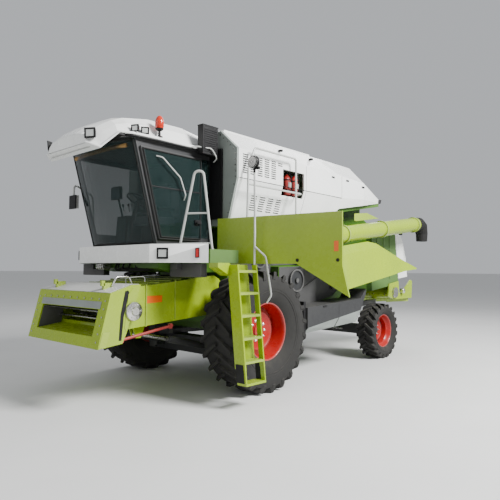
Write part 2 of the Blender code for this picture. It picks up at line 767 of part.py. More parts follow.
def windscreen():
    """The bowed pane, bonded in front of the pillars."""
    rings = []
    for z in (2.15, 3.555):
        outer = front_arc(z, 0.785, -0.012)
        inner = front_arc(z, 0.785, -0.005)
        rings.append(outer + list(reversed(inner)))
    return loft("windscreen", rings, GLASS, smooth_angle=25)


def cab_panes():
    """The fixed side panes."""
    prism("glass_right", "X", side_outline(2.32, 3.51, 0.035, -0.50), -0.8063, -CAB_HALF - GAP, GLASS)
    pane = [(-0.635, 2.27), (-0.635, 3.46), (-0.475, 3.46), (-0.475, 2.27)]
    prism("glass_quarter", "X", pane, CAB_HALF + GAP, 0.8063, GLASS)


def door_axis(z):
    """The door hinge's axis at a height."""
    return Vector((0.87, pillar_y(z) + 0.02, z))


def cab_door():
    """The door's frame, with its pane bonded outside, hung on the front pillar."""
    frame = prism("cab_door", "X", side_outline(2.22, 3.46, 0.04, -0.66), CAB_HALF + PLAY, 0.840, CHARCOAL)
    cut(frame, prism("door_light", "X", side_outline(2.29, 3.41, 0.10, -0.715), 0.70, 0.90, GLASS))
    pane = prism("door_glass", "X", side_outline(2.24, 3.44, 0.055, -0.675), 0.8403, 0.8463, GLASS)
    pivot(frame, door_axis(2.10))
    pivot(pane, door_axis(2.10))


def roof_ring(y, half, low, high):
    """One cross-section of the roof: a flat flange, then a shallow dome."""
    rise = high - low
    side = [
        (half, low),
        (half, low + rise * 0.10),
        (half * 0.92, low + rise * 0.10),
        (half * 0.84, low + rise * 0.52),
        (half * 0.70, low + rise * 0.82),
        (half * 0.42, low + rise * 0.96),
        (0.0, high),
    ]
    right = [Vector((-x, y, z)) for x, z in side[:-1]]
    return right + [Vector((x, y, z)) for x, z in reversed(side)]


def cab_roof():
    """The white roof, whose visor reaches forward over the windscreen."""
    under = CAB_TOP_Z + GAP
    rings = [
        roof_ring(-2.38, 0.56, 3.42, 3.60),
        roof_ring(-2.25, 0.66, 3.36, 3.72),
        roof_ring(-2.05, 0.80, under, 3.83),
        roof_ring(-1.90, 0.86, under, 3.90),
        roof_ring(-1.50, 0.88, under, 3.98),
        roof_ring(-0.90, 0.88, under, 3.99),
        roof_ring(-0.44, 0.84, under, 3.92),
    ]
    return loft("cab_roof", rings, WHITE, smooth_angle=30)


def beacon():
    """The rotating light on its stem at the roof's left edge."""
    x, y = 0.85, -1.46
    foot = 3.6211
    stem = tube("beacon", [(x, y, foot), (x, y, foot + 0.13)], 0.012, AMBER)
    dome = tube(
        "beacon_dome",
        [(x, y, foot + 0.12), (x, y, foot + 0.15), (x, y, foot + 0.26), (x, y, foot + 0.31)],
        0.06,
        AMBER,
        16,
        0.035,
    )
    return union(stem, dome)


def air_box():
    """The cab's air intake box at the roof's rear left corner."""
    return block("air_box", (0.8803, -0.78, 3.50), (1.0, -0.48, 3.93), PLASTIC)


def torus(name, centre, axis, radius, thick, material):
    """A ring of round section about an axis."""
    axis = axis.normalized()
    side = axis.orthogonal().normalized()
    other = axis.cross(side)
    mesh = bmesh.new()
    rows = []
    for i in range(28):
        turn = 2 * math.pi * i / 28
        out = side * math.cos(turn) + other * math.sin(turn)
        row = []
        for k in range(8):
            angle = 2 * math.pi * k / 8
            row.append(
                mesh.verts.new(centre + out * (radius + thick * math.cos(angle)) + axis * thick * math.sin(angle)),
            )
        rows.append(row)
    for i in range(28):
        row = rows[i]
        after = rows[(i + 1) % 28]
        for k in range(8):
            n = (k + 1) % 8
            mesh.faces.new((row[k], row[n], after[n], after[k]))
    return finish(name, mesh, material, 50)


def steering_column():
    """The column, the steering wheel and its three spokes."""
    hub = Vector((0.0, -1.17, 2.86))
    axis = Vector((0, 0.42, 0.9))
    floor = CAB_FLOOR_Z + GAP
    column = tube(
        "steering_column", [(0, -1.36, floor + 0.01), (0, -1.30, 2.50), hub], 0.045, PLASTIC, 10, 0.03
    )
    plate = block("column_foot", (-0.07, -1.43, floor), (0.07, -1.29, floor + 0.02), PLASTIC)
    ring = torus("steering_ring", hub, axis, 0.19, 0.014, PLASTIC)
    spokes = []
    side = axis.normalized().orthogonal().normalized()
    other = axis.normalized().cross(side)
    for k in range(3):
        turn = 2 * math.pi * k / 3
        reach = side * math.cos(turn) + other * math.sin(turn)
        spokes.append(tube("spoke_%d" % k, [hub, hub + reach * 0.19], 0.011, PLASTIC))
    return union(column, plate, ring, *spokes)


def seat():
    """The seat's pedestal, and its cushion with the backrest."""
    floor = CAB_FLOOR_Z + GAP
    block("seat_base", (-0.17, -1.00, floor), (0.17, -0.70, 2.48), CHARCOAL)
    cushion = block("seat_cushion", (-0.25, -1.12, 2.4803), (0.25, -0.66, 2.60), CLOTH)
    rings = []
    for y, z, half in ((-0.72, 2.54, 0.24), (-0.66, 3.02, 0.22), (-0.63, 3.16, 0.15)):
        rings.append(
            [Vector((-half, y, z)), Vector((half, y, z)), Vector((half, y + 0.10, z)), Vector((-half, y + 0.10, z))],
        )
    union(cushion, loft("seat_back", rings, CLOTH))


def side_console():
    """The operator's console to the right of the seat, with its monitor on a stalk."""
    floor = CAB_FLOOR_Z + GAP
    desk = [(-1.20, floor), (-1.16, 2.64), (-0.58, 2.72), (-0.58, floor)]
    console = prism("side_console", "X", desk, -0.60, -0.34, PLASTIC)
    stalk = tube("monitor_stalk", [(-0.50, -1.12, 2.60), (-0.50, -1.22, 2.96)], 0.016, PLASTIC)
    monitor = block("monitor", (-0.62, -1.27, 2.90), (-0.38, -1.22, 3.10), PLASTIC)
    return union(console, stalk, monitor)


def mirror_right():
    """The right-hand mirror on its arm from the platform's edge."""
    foot = Vector((-1.45, -1.05, DECK_Z + GAP))
    path = [foot + Vector((0, 0, 0.005)), (-1.42, -1.12, 3.05), (-1.08, -1.66, 3.16), (-1.07, -1.66, 2.90)]
    arm = tube("mirror_right", fillet(path, 0.10), 0.016, TUBE_GREY)
    head = block("mirror_head", (-1.16, -1.69, 2.76), (-0.97, -1.63, 2.97), PLASTIC)
    return union(arm, head, foot_plate("mirror_foot", foot, TUBE_GREY))


cab_frame()
windscreen()
cab_panes()
cab_door()
cab_roof()
beacon()
air_box()
steering_column()
seat()
side_console()
mirror_right()


# ---------------------------------------------------------------- feeder house and its lift
HOUSE_HALF = 0.80
ADAPTER_HALF = 0.93
HOUSE_TOP = (-1.80, 1.56)
HOUSE_FOOT = (-1.99, 1.01)
LIFT_X = 0.60
BARREL_PIN = Vector((LIFT_X, -0.25, 0.60))
ROD_EYE = Vector((LIFT_X, -1.62, 0.92))


def feeder_house():
    """The crop channel that swings on the body's front, open at its mouth."""
    rear = []
    for k in range(9):
        angle = math.radians(75 - k * 21.5)
        rear.append((FEEDER_PIVOT.y + 0.30 * math.cos(angle), FEEDER_PIVOT.z + 0.30 * math.sin(angle)))
    outline = [HOUSE_FOOT, HOUSE_TOP, *rear]
    house = prism("feeder_house", "X", outline, -HOUSE_HALF, HOUSE_HALF, LIME)
    channel = [(-2.10, 1.05), (-2.10, 1.51), (-1.80, 1.51), (-0.62, 1.62), (-0.62, 1.16), (-1.90, 1.06)]
    cut(house, prism("feeder_channel", "X", channel, -HOUSE_HALF + 0.04, HOUSE_HALF - 0.04, LIME))
    ears = []
    for side in (1, -1):
        for k, inner in enumerate((0.637, 0.545)):
            low, high = sorted((side * inner, side * (inner + 0.018)))
            ear = [(-1.72, 1.045), (-1.66, 0.865), (-1.58, 0.865), (-1.50, 1.055)]
            ears.append(prism("lift_ear_%d_%d" % (side, k), "X", ear, low, high, LIME))
    return pivot(union(house, *ears), FEEDER_PIVOT)


def feeder_frame():
    """The adapter frame around the mouth that a header hooks on to."""
    outline = [
        (-2.41, 0.82),
        (-2.24, 1.50),
        (-1.92, 1.60),
        (-1.7883, 1.60),
        (-2.0003, 0.985),
        (-2.06, 0.86),
    ]
    frame = prism("feeder_frame", "X", outline, -ADAPTER_HALF, ADAPTER_HALF, LIME)
    mouth = [(-2.60, 0.93), (-2.60, 1.27), (-2.18, 1.30), (-1.70, 1.51), (-1.70, 1.06), (-2.10, 1.00)]
    cut(frame, prism("mouth_cut", "X", mouth, -0.74, 0.74, LIME))
    for side in (1, -1):
        pocket = [(-2.25, 0.99), (-2.17, 1.40), (-1.60, 1.40), (-1.60, 0.99)]
        low, high = sorted((side * 0.81, side * 0.90))
        cut(frame, prism("frame_pocket_%d" % side, "X", pocket, low, high, LIME))
    return pivot(frame, FEEDER_PIVOT)


def feed_drum():
    """The slatted drum in the feeder's mouth."""
    centre = Vector((0, -1.72, 1.285))
    profile = [(-0.73, 0), (-0.73, 0.165), (0.73, 0.165), (0.73, 0)]
    drum = lathe("feed_drum", profile, centre, CHARCOAL, segments=24)
    return pivot(drum, centre)


def lift_cylinder(side, word):
    """A barrel pinned to the axle and a rod whose eye sits between the feeder's ears."""
    pin = Vector((side * BARREL_PIN.x, BARREL_PIN.y, BARREL_PIN.z))
    eye = Vector((side * ROD_EYE.x, ROD_EYE.y, ROD_EYE.z))
    along = (eye - pin).normalized()
    length = (eye - pin).length
    tilt = math.atan2(along.z, -along.y)
    barrel = lathe(
        "lift_barrel_" + word, [(-0.027, 0), (-0.027, 0.048), (0.027, 0.048), (0.027, 0)], pin, CHARCOAL, 20
    )
    profile = [(0.075, 0), (0.075, 0.05), (0.845, 0.05), (0.845, 0.029), (0.20, 0.029), (0.20, 0)]
    body = lathe("barrel_body_" + word, profile, Vector((0, 0, 0)), CHARCOAL, 20)
    neck = block("barrel_neck_" + word, (0.02, -0.025, -0.03), (0.10, 0.025, 0.03), CHARCOAL)
    turn = Matrix.Translation(pin) @ Matrix.Rotation(-math.pi / 2, 4, "Z")
    turn = turn @ Matrix.Rotation(-tilt, 4, "Y")
    for piece in (body, neck):
        piece.data.transform(turn)
    union(barrel, body, neck)
    rod = lathe(
        "lift_rod_" + word, [(-0.025, 0), (-0.025, 0.045), (0.025, 0.045), (0.025, 0)], eye, STEEL, 20
    )
    shaft = lathe(
        "rod_shaft_" + word,
        [(0.56, 0), (0.56, 0.0285), (length - 0.02, 0.0285), (length - 0.02, 0)],
        Vector((0, 0, 0)),
        STEEL,
        20,
    )
    shaft.data.transform(turn)
    union(rod, shaft)
    pivot(barrel, pin)
    pivot(rod, pin)


feeder_house()
feeder_frame()
feed_drum()
lift_cylinder(1, "left")
lift_cylinder(-1, "right")


# ---------------------------------------------------------------- side panels, boxes and the unloading auger
PANEL_OUTLINE = [(0, 1.885), (1.30, 1.885), (2.043, 1.47), (1.95, 1.86), (1.95, 2.54), (0, 2.54)]


def front_panel(side, word, angle):
    """A flat side panel on two gooseneck arms. It is drawn closed, then turned open by an angle."""
    skin = [(-0.42 + s, z) for s, z in PANEL_OUTLINE]
    low, high = sorted((side * (SKIN_X - SHEET), side * SKIN_X))
    panel = prism("front_panel_" + word, "X", skin, low, high, LIME)
    axis_x = side * PANEL_AXIS.x
    parts = []
    for k, z in enumerate((1.96, 2.32)):
        low, high = sorted((axis_x, side * (SKIN_X - SHEET / 2)))
        parts.append(
            block("panel_arm_%d_%d" % (side, k), (low, -0.285, z + 0.02), (high, -0.261, z + 0.06), GREEN)
        )
        parts.append(
            tube("panel_eye_%d_%d" % (side, k), [(axis_x, -0.273, z), (axis_x, -0.273, z + 0.08)], 0.024, GREEN, 12),
        )
    turn = Matrix.Translation((axis_x, PANEL_AXIS.y, 0)) @ Matrix.Rotation(angle, 4, "Z")
    turn = turn @ Matrix.Translation((-axis_x, -PANEL_AXIS.y, 0))
    for piece in (panel, *parts):
        piece.data.transform(turn)
    union(panel, *parts)
    return pivot(panel, (axis_x, PANEL_AXIS.y, PANEL_AXIS.z))


def rear_panel(side, word, front):
    """A folded side panel, flared at its foot, hung on its front edge."""
    edges = [
        (front, [(1.70, 1.45), (1.60, 2.07), (1.515, 2.22)]),
        (2.23, [(1.70, 1.486), (1.60, 2.10), (1.515, 2.252)]),
        (3.12, [(1.70, 1.615), (1.60, 2.222), (1.515, 2.37)]),
        (3.41, [(1.70, 1.656), (1.60, 2.26), (1.545, 2.34)]),
        (4.40, [(1.70, 1.80), (1.655, 1.97), (1.645, 2.02)]),
        (4.95, [(1.70, 1.838), (1.695, 1.86), (1.692, 1.87)]),
    ]
    rings = []
    for y, outer in edges:
        inner = [(x - SHEET, z) for x, z in reversed(outer)]
        rings.append([Vector((side * x, y, z)) for x, z in outer + inner])
    panel = loft("rear_panel_" + word, rings, LIME)
    return pivot(panel, (side * 1.55, front - 0.02, 1.85))


def side_box(side, word):
    """The bevelled bin and battery box below the panels."""
    rings = []
    for y, low, crease, top in (
        (1.14, 0.74, 0.845, 1.18), (2.87, 0.82, 1.05, 1.27), (3.07, 1.30, 1.36, 1.45)
    ):
        pairs = [(1.0203, low), (1.39, low), (1.50, crease), (1.50, top), (1.0203, top)]
        rings.append([Vector((side * x, y, z)) for x, z in pairs])
    return loft("side_box_" + word, rings, CHARCOAL)


def auger_tube():
    """The unloading tube, folded back along the machine, with its rubber spout."""
    x, y, z = AUGER_PIVOT
    along = Vector((0, math.cos(AUGER_RISE), math.sin(AUGER_RISE)))
    bend = Vector((x, y, 2.40))
    end = bend + along * AUGER_LENGTH
    body = tube("auger_tube", fillet([(x, y, z), bend, end], 0.17, 6), AUGER_RADIUS, LIME, 24)
    start = end + along * GAP
    path = [start, start + along * 0.18, (x, 5.80, 2.84), (x, 5.865, 2.68), (x, 5.86, 2.50)]
    spout = tube("auger_spout", path, 0.160, RUBBER, 20, 0.125)
    pivot(body, AUGER_PIVOT)
    pivot(spout, AUGER_PIVOT)


front_panel(1, "left", -PANEL_OPEN)
front_panel(-1, "right", 0.0)
rear_panel(1, "left", 2.0)
rear_panel(-1, "right", 1.70)
side_box(1, "left")
side_box(-1, "right")
auger_tube()


# ---------------------------------------------------------------- the frame's origin
# The machine is drawn about its front axle. Its frame's origin is on the ground, below the middle of its
# bounding box.
for obj in bpy.data.objects:
    obj.location -= ORIGIN
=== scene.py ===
# %% [markdown]
# # A combine harvester, dressed over its frame
# The frame holds every plain solid of the machine and the bodies that move. This lesson adds what a plain
# solid can't show: tyre lugs, louvres, lamps, hoses, seals, seams and finishes. Each piece rides on the
# body that carries it on the real machine, so it follows when a door, a panel or the unloading auger
# moves.

import math

import bmesh
import bpy
from mathutils import Matrix, Vector


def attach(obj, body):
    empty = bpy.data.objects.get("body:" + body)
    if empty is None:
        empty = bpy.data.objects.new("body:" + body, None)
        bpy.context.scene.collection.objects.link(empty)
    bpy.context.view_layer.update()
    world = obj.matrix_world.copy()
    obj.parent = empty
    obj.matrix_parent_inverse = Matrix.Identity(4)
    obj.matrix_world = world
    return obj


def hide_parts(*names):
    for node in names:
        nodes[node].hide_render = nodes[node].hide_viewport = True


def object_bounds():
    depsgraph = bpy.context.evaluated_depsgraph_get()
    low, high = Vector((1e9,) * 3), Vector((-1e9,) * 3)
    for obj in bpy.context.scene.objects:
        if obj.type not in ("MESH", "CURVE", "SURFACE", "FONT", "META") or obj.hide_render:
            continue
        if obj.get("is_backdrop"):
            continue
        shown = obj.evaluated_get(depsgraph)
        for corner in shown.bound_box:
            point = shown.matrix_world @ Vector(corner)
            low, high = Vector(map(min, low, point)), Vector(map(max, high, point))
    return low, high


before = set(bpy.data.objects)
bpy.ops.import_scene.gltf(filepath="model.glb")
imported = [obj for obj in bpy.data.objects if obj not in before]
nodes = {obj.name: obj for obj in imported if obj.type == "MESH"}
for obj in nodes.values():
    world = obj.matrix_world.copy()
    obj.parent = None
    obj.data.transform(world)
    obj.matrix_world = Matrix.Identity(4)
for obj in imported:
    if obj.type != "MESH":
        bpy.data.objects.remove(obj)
cad_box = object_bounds()

# %% [markdown]
# ## Working in the machine's own coordinates
# A harvester is easiest to lay out from its front axle: X to the machine's left, Y to the rear, Z up from
# the ground. The frame's origin is below the middle of the whole machine instead, so each new object is
# made in the axle's coordinates and its location takes the difference.

# %% Where the front axle is
AXLE = Vector((-0.736738, -1.915, 0.0))  # the front axle's middle on the ground, in the frame
FRONT_R, FRONT_W, FRONT_X = 0.893, 0.62, 1.37  # the front tyre's radius and width, and the wheel's place
REAR_R, REAR_W, REAR_X, REAR_Y = 0.560, 0.39, 1.275, 3.95
FRONT_BEAD, REAR_BEAD = 0.415, 0.325  # the radius where the tyre sits on its rim
print("front axle at", tuple(round(v, 3) for v in AXLE))

# %% [markdown]
# ## Blocks and plates
# Nearly everything on a farm machine is a bent plate, a tube or a turned part. A block could be added as
# an object of its own, but then a row of louvres would be fifty objects. So each helper adds to a mesh
# that already exists: a slab between two corners, or a plate with any outline pushed through its
# thickness.


# %% Slabs and plates
def slab(mesh, low, high):
    """A block between two corners."""
    made = bmesh.ops.create_cube(mesh, size=1.0)["verts"]
    low, high = Vector(low), Vector(high)
    for vert in made:
        vert.co = Vector(low[k] + (vert.co[k] + 0.5) * (high[k] - low[k]) for k in range(3))
    return made


def plate(mesh, outline, across, low, high):
    """A flat outline pushed through along X, Y or Z."""
    order = {"X": (2, 0, 1), "Y": (0, 2, 1), "Z": (0, 1, 2)}[across]
    rows = []
    for level in (low, high):
        row = []
        for first, second in outline:
            values = (first, second, level)
            row.append(mesh.verts.new(Vector(values[k] for k in order)))
        rows.append(row)
    count = len(outline)
    faces = [mesh.faces.new(rows[0]), mesh.faces.new(rows[1])]
    for i in range(count):
        j = (i + 1) % count
        faces.append(mesh.faces.new((rows[0][i], rows[0][j], rows[1][j], rows[1][i])))
    return rows[0] + rows[1]


def side_plate(mesh, outline, side, near, far):
    """A plate that stands on the machine's left for side 1, or on its right for side -1."""
    return plate(mesh, outline, "X", *sorted((side * near, side * far)))


print("flat metal: slab, plate and side_plate")

# %% [markdown]
# ## Tubes
# Handrails, hoses and lines are round bars swept along a path. A curve object with a bevel would make
# them too. A swept ring of points is used instead, because several tubes can then share one mesh, and the
# radius can change along the way. The path's corners are rounded first, since a tube bends in an arc.


# %% Rounded paths and pipes
def rounded(points, radius, steps=5):
    """A path with each inner corner rounded."""
    points = [Vector(point) for point in points]
    path = [points[0]]
    for before, corner, after in zip(points, points[1:], points[2:]):
        back = (before - corner).normalized()
        ahead = (after - corner).normalized()
        half = max(back.angle(ahead) / 2, 0.05)
        reach = min(radius / math.tan(half), (before - corner).length / 2.05, (after - corner).length / 2.05)
        start, end = corner + back * reach, corner + ahead * reach
        for i in range(steps + 1):
            t = i / steps
            path.append(start * (1 - t) ** 2 + corner * 2 * t * (1 - t) + end * t * t)
    path.append(points[-1])
    return path


def pipe(mesh, points, radius, sides=12):
    """A round tube along a path. The radius is one number, or one for each point."""
    points = [Vector(point) for point in points]
    sizes = radius if isinstance(radius, (list, tuple)) else [radius] * len(points)
    steps = [(b - a).normalized() for a, b in zip(points, points[1:])]
    side = steps[0].orthogonal().normalized()
    rows = []
    for i, point in enumerate(points):
        along = (steps[max(i - 1, 0)] + steps[min(i, len(steps) - 1)]).normalized()
        side = (side - along * side.dot(along)).normalized()
        other = along.cross(side)
        row = []
        for k in range(sides):
            angle = 2 * math.pi * k / sides
            row.append(mesh.verts.new(point + (side * math.cos(angle) + other * math.sin(angle)) * sizes[i]))
        rows.append(row)
    mesh.faces.new(rows[0])
    mesh.faces.new(rows[-1])
    for row, after in zip(rows, rows[1:]):
        for k in range(sides):
            n = (k + 1) % sides
            mesh.faces.new((row[k], row[n], after[n], after[k]))
    return rows


print("tubes: rounded and pipe")

# %% [markdown]
# ## Turned parts
# A rim, a hub, a bottle or a bolt is the same all the way round its axis. Its profile is drawn once, as
# distance along the axis and radius, and is turned in steps. A profile that starts and ends on the axis
# makes a closed body. The steps are few on a bolt, where six of them are its real shape, and many on a
# tyre.


# %% Turned rings and hexagon bolts
def turned(mesh, profile, centre, axis=(1, 0, 0), segments=32, closed=True):
    """A profile of (along, radius) pairs turned about an axis. A radius of 0 meets the axis in one point."""
    centre, axis = Vector(centre), Vector(axis).normalized()
    side = axis.orthogonal().normalized()
    other = axis.cross(side)
    poles = {k: mesh.verts.new(centre + axis * a) for k, (a, r) in enumerate(profile) if r == 0}
    rows = []
    for i in range(segments):
        angle = 2 * math.pi * i / segments
        out = side * math.cos(angle) + other * math.sin(angle)
        rows.append(
            [
                poles[k] if k in poles else mesh.verts.new(centre + axis * a + out * r)
                for k, (a, r) in enumerate(profile)
            ]
        )
    count = len(profile)
    for i in range(segments):
        row, after = rows[i], rows[(i + 1) % segments]
        for k in range(count if closed else count - 1):
            n = (k + 1) % count
            corners = []
            for vert in (row[k], row[n], after[n], after[k]):
                if vert not in corners:
                    corners.append(vert)
            if len(corners) > 2:
                mesh.faces.new(corners)
    return [vert for row in rows for vert in row]


def hexagon(mesh, radius, height, at, axis):
    """A bolt's head, standing on the surface at a point."""
    return turned(mesh, [(0, radius), (height, radius), (height, 0)], at, axis, 6, closed=False)


print("turned parts: turned and hexagon")


# %% [markdown]
# ## From a mesh to a piece of the machine
# A finished piece needs a name, a finish, a body to ride on and the material slot it belongs to. Edges
# are rounded by a narrow bevel, because no real sheet has a razor edge and the bevel is what catches the
# light.


# %% Make a piece
SHARP = math.radians(35)  # edges steeper than this are rounded


def soft_edge(obj, width):
    edge = obj.modifiers.new("edge", "BEVEL")
    edge.width = width
    edge.segments = 2
    edge.limit_method = "ANGLE"
    edge.angle_limit = SHARP
    edge.use_clamp_overlap = True
    edge.harden_normals = True


def piece(name, mesh, finish, body="chassis", bevel=0.003, smooth=40, slot=None, replaces=()):
    bmesh.ops.recalc_face_normals(mesh, faces=mesh.faces)
    data = bpy.data.meshes.new(name)
    mesh.to_mesh(data)
    mesh.free()
    data.materials.append(finish)
    obj = bpy.data.objects.new(name, data)
    bpy.context.scene.collection.objects.link(obj)
    obj.location = AXLE
    data.shade_smooth()
    data.set_sharp_from_angle(angle=math.radians(smooth))
    if bevel:
        soft_edge(obj, bevel)
    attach(obj, body)
    if replaces:
        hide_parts(*replaces)
    return obj


print("pieces sit at", tuple(round(v, 3) for v in AXLE))


# %% [markdown]
# ## Finishes
# Paint on a working machine is never one colour. It fades in large soft patches, it holds dust on
# surfaces that face up and near the ground, its gloss varies, and its edges rub through. One recipe
# covers all the paints: a large noise for the fade, a second one gated by the surface's slope for the
# dust, and a fine one that makes the orange-peel bump. Nodes are joined by a few short helpers, so that
# the recipe reads in order.


# %% Node helpers
DUST = (0.33, 0.30, 0.24)
BARE_METAL = (0.36, 0.35, 0.33)


def link(tree, a, out, b, into):
    tree.links.new(a.outputs[out], b.inputs[into])


def noise(tree, where, scale, detail=4.0, rough=0.55):
    node = tree.nodes.new("ShaderNodeTexNoise")
    node.inputs["Scale"].default_value = scale
    node.inputs["Detail"].default_value = detail
    node.inputs["Roughness"].default_value = rough
    link(tree, where, "Object", node, "Vector")
    return node


def ramp(tree, source, output, low, high, dark=(0, 0, 0, 1), light=(1, 1, 1, 1)):
    node = tree.nodes.new("ShaderNodeValToRGB")
    node.color_ramp.elements[0].position = low
    node.color_ramp.elements[0].color = dark
    node.color_ramp.elements[1].position = high
    node.color_ramp.elements[1].color = light
    link(tree, source, output, node, "Fac")
    return node


def mixed(tree, factor, a, b):
    node = tree.nodes.new("ShaderNodeMix")
    node.data_type = "RGBA"
    tree.links.new(factor, node.inputs["Factor"])
    for value, socket in ((a, node.inputs[6]), (b, node.inputs[7])):
        if isinstance(value, tuple):
            socket.default_value = (*value[:3], 1)
        else:
            tree.links.new(value, socket)
    return node.outputs[2]


print("dust colour", DUST, "bare metal", BARE_METAL)

# %% [markdown]
# ## The paint recipe
# The colour goes through three layers. First the fade: two tones of the paint, mixed by a large soft
# noise. Then the dust, which needs both a speck of noise and a surface that looks up. Last the worn
# edges, where the mesh is convex. Roughness follows the same specks, because dusty paint is dull paint.


# %% Fade, dust, wear and grain
def finish(
    name, colour, slot, rough=0.35, metal=0.0, fade=0.12, dust=0.25, grain=0.02, grain_scale=180.0,
    coat=0.0, wear=0.0, shine=0.5,
):
    """A finish with fade, dust, fine grain and, if asked, worn edges."""
    material = bpy.data.materials.new(name)
    material.use_nodes = True
    material["slot"] = slot
    tree = material.node_tree
    shader = tree.nodes["Principled BSDF"]
    where = tree.nodes.new("ShaderNodeTexCoord")
    shape = tree.nodes.new("ShaderNodeNewGeometry")
    patches = noise(tree, where, 1.7, 5.0)
    faded = tuple(min(1.0, c * (1 - fade) + 0.004) for c in colour)
    bright = tuple(min(1.0, c * (1 + fade * 0.6)) for c in colour)
    base = mixed(tree, ramp(tree, patches, "Fac", 0.35, 0.65).outputs["Color"], faded, bright)
    slope = tree.nodes.new("ShaderNodeSeparateXYZ")
    link(tree, shape, "Normal", slope, "Vector")
    facing = ramp(tree, slope, "Z", 0.15, 0.95)
    specks = ramp(tree, noise(tree, where, 9.0, 8.0, 0.7), "Fac", 0.42, 0.72)
    dirt = tree.nodes.new("ShaderNodeMath")
    dirt.operation = "MULTIPLY_ADD"
    link(tree, specks, "Color", dirt, 0)
    link(tree, facing, "Color", dirt, 1)
    dirt.inputs[2].default_value = 0.10
    amount = tree.nodes.new("ShaderNodeMath")
    amount.operation = "MULTIPLY"
    amount.use_clamp = True
    tree.links.new(dirt.outputs[0], amount.inputs[0])
    amount.inputs[1].default_value = dust
    base = mixed(tree, amount.outputs[0], base, DUST)
    if wear:
        edge = ramp(tree, shape, "Pointiness", 0.53, 0.60)
        rub = tree.nodes.new("ShaderNodeMath")
        rub.operation = "MULTIPLY"
        link(tree, edge, "Color", rub, 0)
        rub.inputs[1].default_value = wear
        base = mixed(tree, rub.outputs[0], base, BARE_METAL)
    tree.links.new(base, shader.inputs["Base Color"])
    gloss = tree.nodes.new("ShaderNodeMapRange")
    link(tree, specks, "Color", gloss, "Value")
    gloss.inputs["To Min"].default_value = max(0.03, rough - 0.06)
    gloss.inputs["To Max"].default_value = min(1.0, rough + 0.14)
    link(tree, gloss, "Result", shader, "Roughness")
    shader.inputs["Metallic"].default_value = metal
    shader.inputs["Coat Weight"].default_value = coat
    shader.inputs["Specular IOR Level"].default_value = shine
    bump = tree.nodes.new("ShaderNodeBump")
    bump.inputs["Strength"].default_value = min(1.0, grain * 6)
    bump.inputs["Distance"].default_value = 0.002
    link(tree, noise(tree, where, grain_scale, 3.0), "Fac", bump, "Height")
    link(tree, bump, "Normal", shader, "Normal")
    return material


print("the recipe has", finish.__code__.co_argcount, "settings")

# %% [markdown]
# ## The paints of this machine
# Sheet metal is lime or white enamel with a clear gloss. On the body's sides, the platform, the ladder's
# riser and the straw hood the lime is darkened to a deep green, which is painted shade. The tank's white
# front wall is grey, also painted shade. The chassis is charcoal and the wheels are red. A tyre is far
# rougher than any paint and holds the most dust.

# %% Mix the paints
LIME = finish(
    "lime enamel", (0.27, 0.385, 0.001), "lime_paint", rough=0.28, coat=0.12, fade=0.06, dust=0.12,
    wear=0.2, shine=0.35,
)
# Painted shade: the lime paint darkened to a deep green, for the surfaces that stand in shade.
GREEN = finish(
    "lime enamel in painted shade", (0.045, 0.135, 0.002), "dark_green_paint", rough=0.38, dust=0.15, wear=0.2,
    shine=0.3,
)
WHITE = finish("white enamel", (0.84, 0.85, 0.83), "white_paint", rough=0.26, coat=0.3, fade=0.05, dust=0.22)
# Grey paint for the side boxes' lower facets and the mouth's band, and painted shade on the tank's white
# front wall.
GREY = finish("grey paint and painted shade", (0.24, 0.27, 0.25), "grey_paint", rough=0.45, dust=0.2)
CHARCOAL = finish(
    "charcoal chassis paint", (0.022, 0.023, 0.025), "charcoal_paint", rough=0.5, dust=0.12, wear=0.2,
    shine=0.3,
)
RED = finish(
    "red wheel enamel", (0.33, 0.004, 0.002), "red_paint", rough=0.32, coat=0.05, dust=0.08, wear=0.2,
    shine=0.3,
)
RUBBER = finish(
    "black rubber", (0.009, 0.009, 0.009), "rubber", rough=0.75, dust=0.08, shine=0.25, grain=0.08,
    grain_scale=90.0,
)
TYRE = finish(
    "dusty tyre rubber", (0.018, 0.018, 0.018), "tyre_rubber", rough=0.85, dust=0.20, fade=0.3, shine=0.2,
    grain=0.10, grain_scale=60.0,
)
STEEL = finish(
    "bright steel", (0.62, 0.61, 0.59), "bright_steel", rough=0.28, metal=1.0, dust=0.12, grain=0.03
)
TUBE = finish("grey tube paint", (0.46, 0.47, 0.45), "tube_grey", rough=0.36, dust=0.15, wear=0.3)
PLASTIC = finish(
    "black moulded plastic", (0.006, 0.006, 0.007), "black_plastic", rough=0.45, dust=0.06, shine=0.22,
    grain=0.12, grain_scale=420.0,
)
AMBER = finish("amber lens", (0.50, 0.020, 0.002), "amber_lens", rough=0.2, coat=0.2, dust=0.05)
print("paints:", len(bpy.data.materials))

# %% [markdown]
# ## Glass
# The cab's panes are tinted green. Full refraction would be slow and noisy through so many panes. They
# get a dark glossy shader instead, which lets a part of the light straight through and has faint smears
# in its roughness.


# %% Glass
def glass(name, colour, rough=0.02, seen=1.0):
    material = bpy.data.materials.new(name)
    material.use_nodes = True
    material["slot"] = "tinted_glass"
    tree = material.node_tree
    shader = tree.nodes["Principled BSDF"]
    where = tree.nodes.new("ShaderNodeTexCoord")
    smear = ramp(tree, noise(tree, where, 3.0, 6.0, 0.65), "Fac", 0.3, 0.8)
    base = mixed(tree, smear.outputs["Color"], colour, tuple(min(1, c * 1.25) for c in colour))
    tree.links.new(base, shader.inputs["Base Color"])
    haze = tree.nodes.new("ShaderNodeMapRange")
    link(tree, smear, "Color", haze, "Value")
    haze.inputs["To Min"].default_value = rough
    haze.inputs["To Max"].default_value = rough + 0.05
    link(tree, haze, "Result", shader, "Roughness")
    shader.inputs["IOR"].default_value = 1.45
    shader.inputs["Alpha"].default_value = seen
    return material


PANE = glass("tinted pane", (0.014, 0.028, 0.027), seen=0.42)
print("glass lets", round(1 - 0.42, 2), "of the light straight through")

# %% [markdown]
# ## Lenses and cloth
# Both start from the paint recipe and change its bump. A lens has fine straight ribs that spread the
# light, and cloth takes the higher of two crossed waves, as threads that pass over each other do.


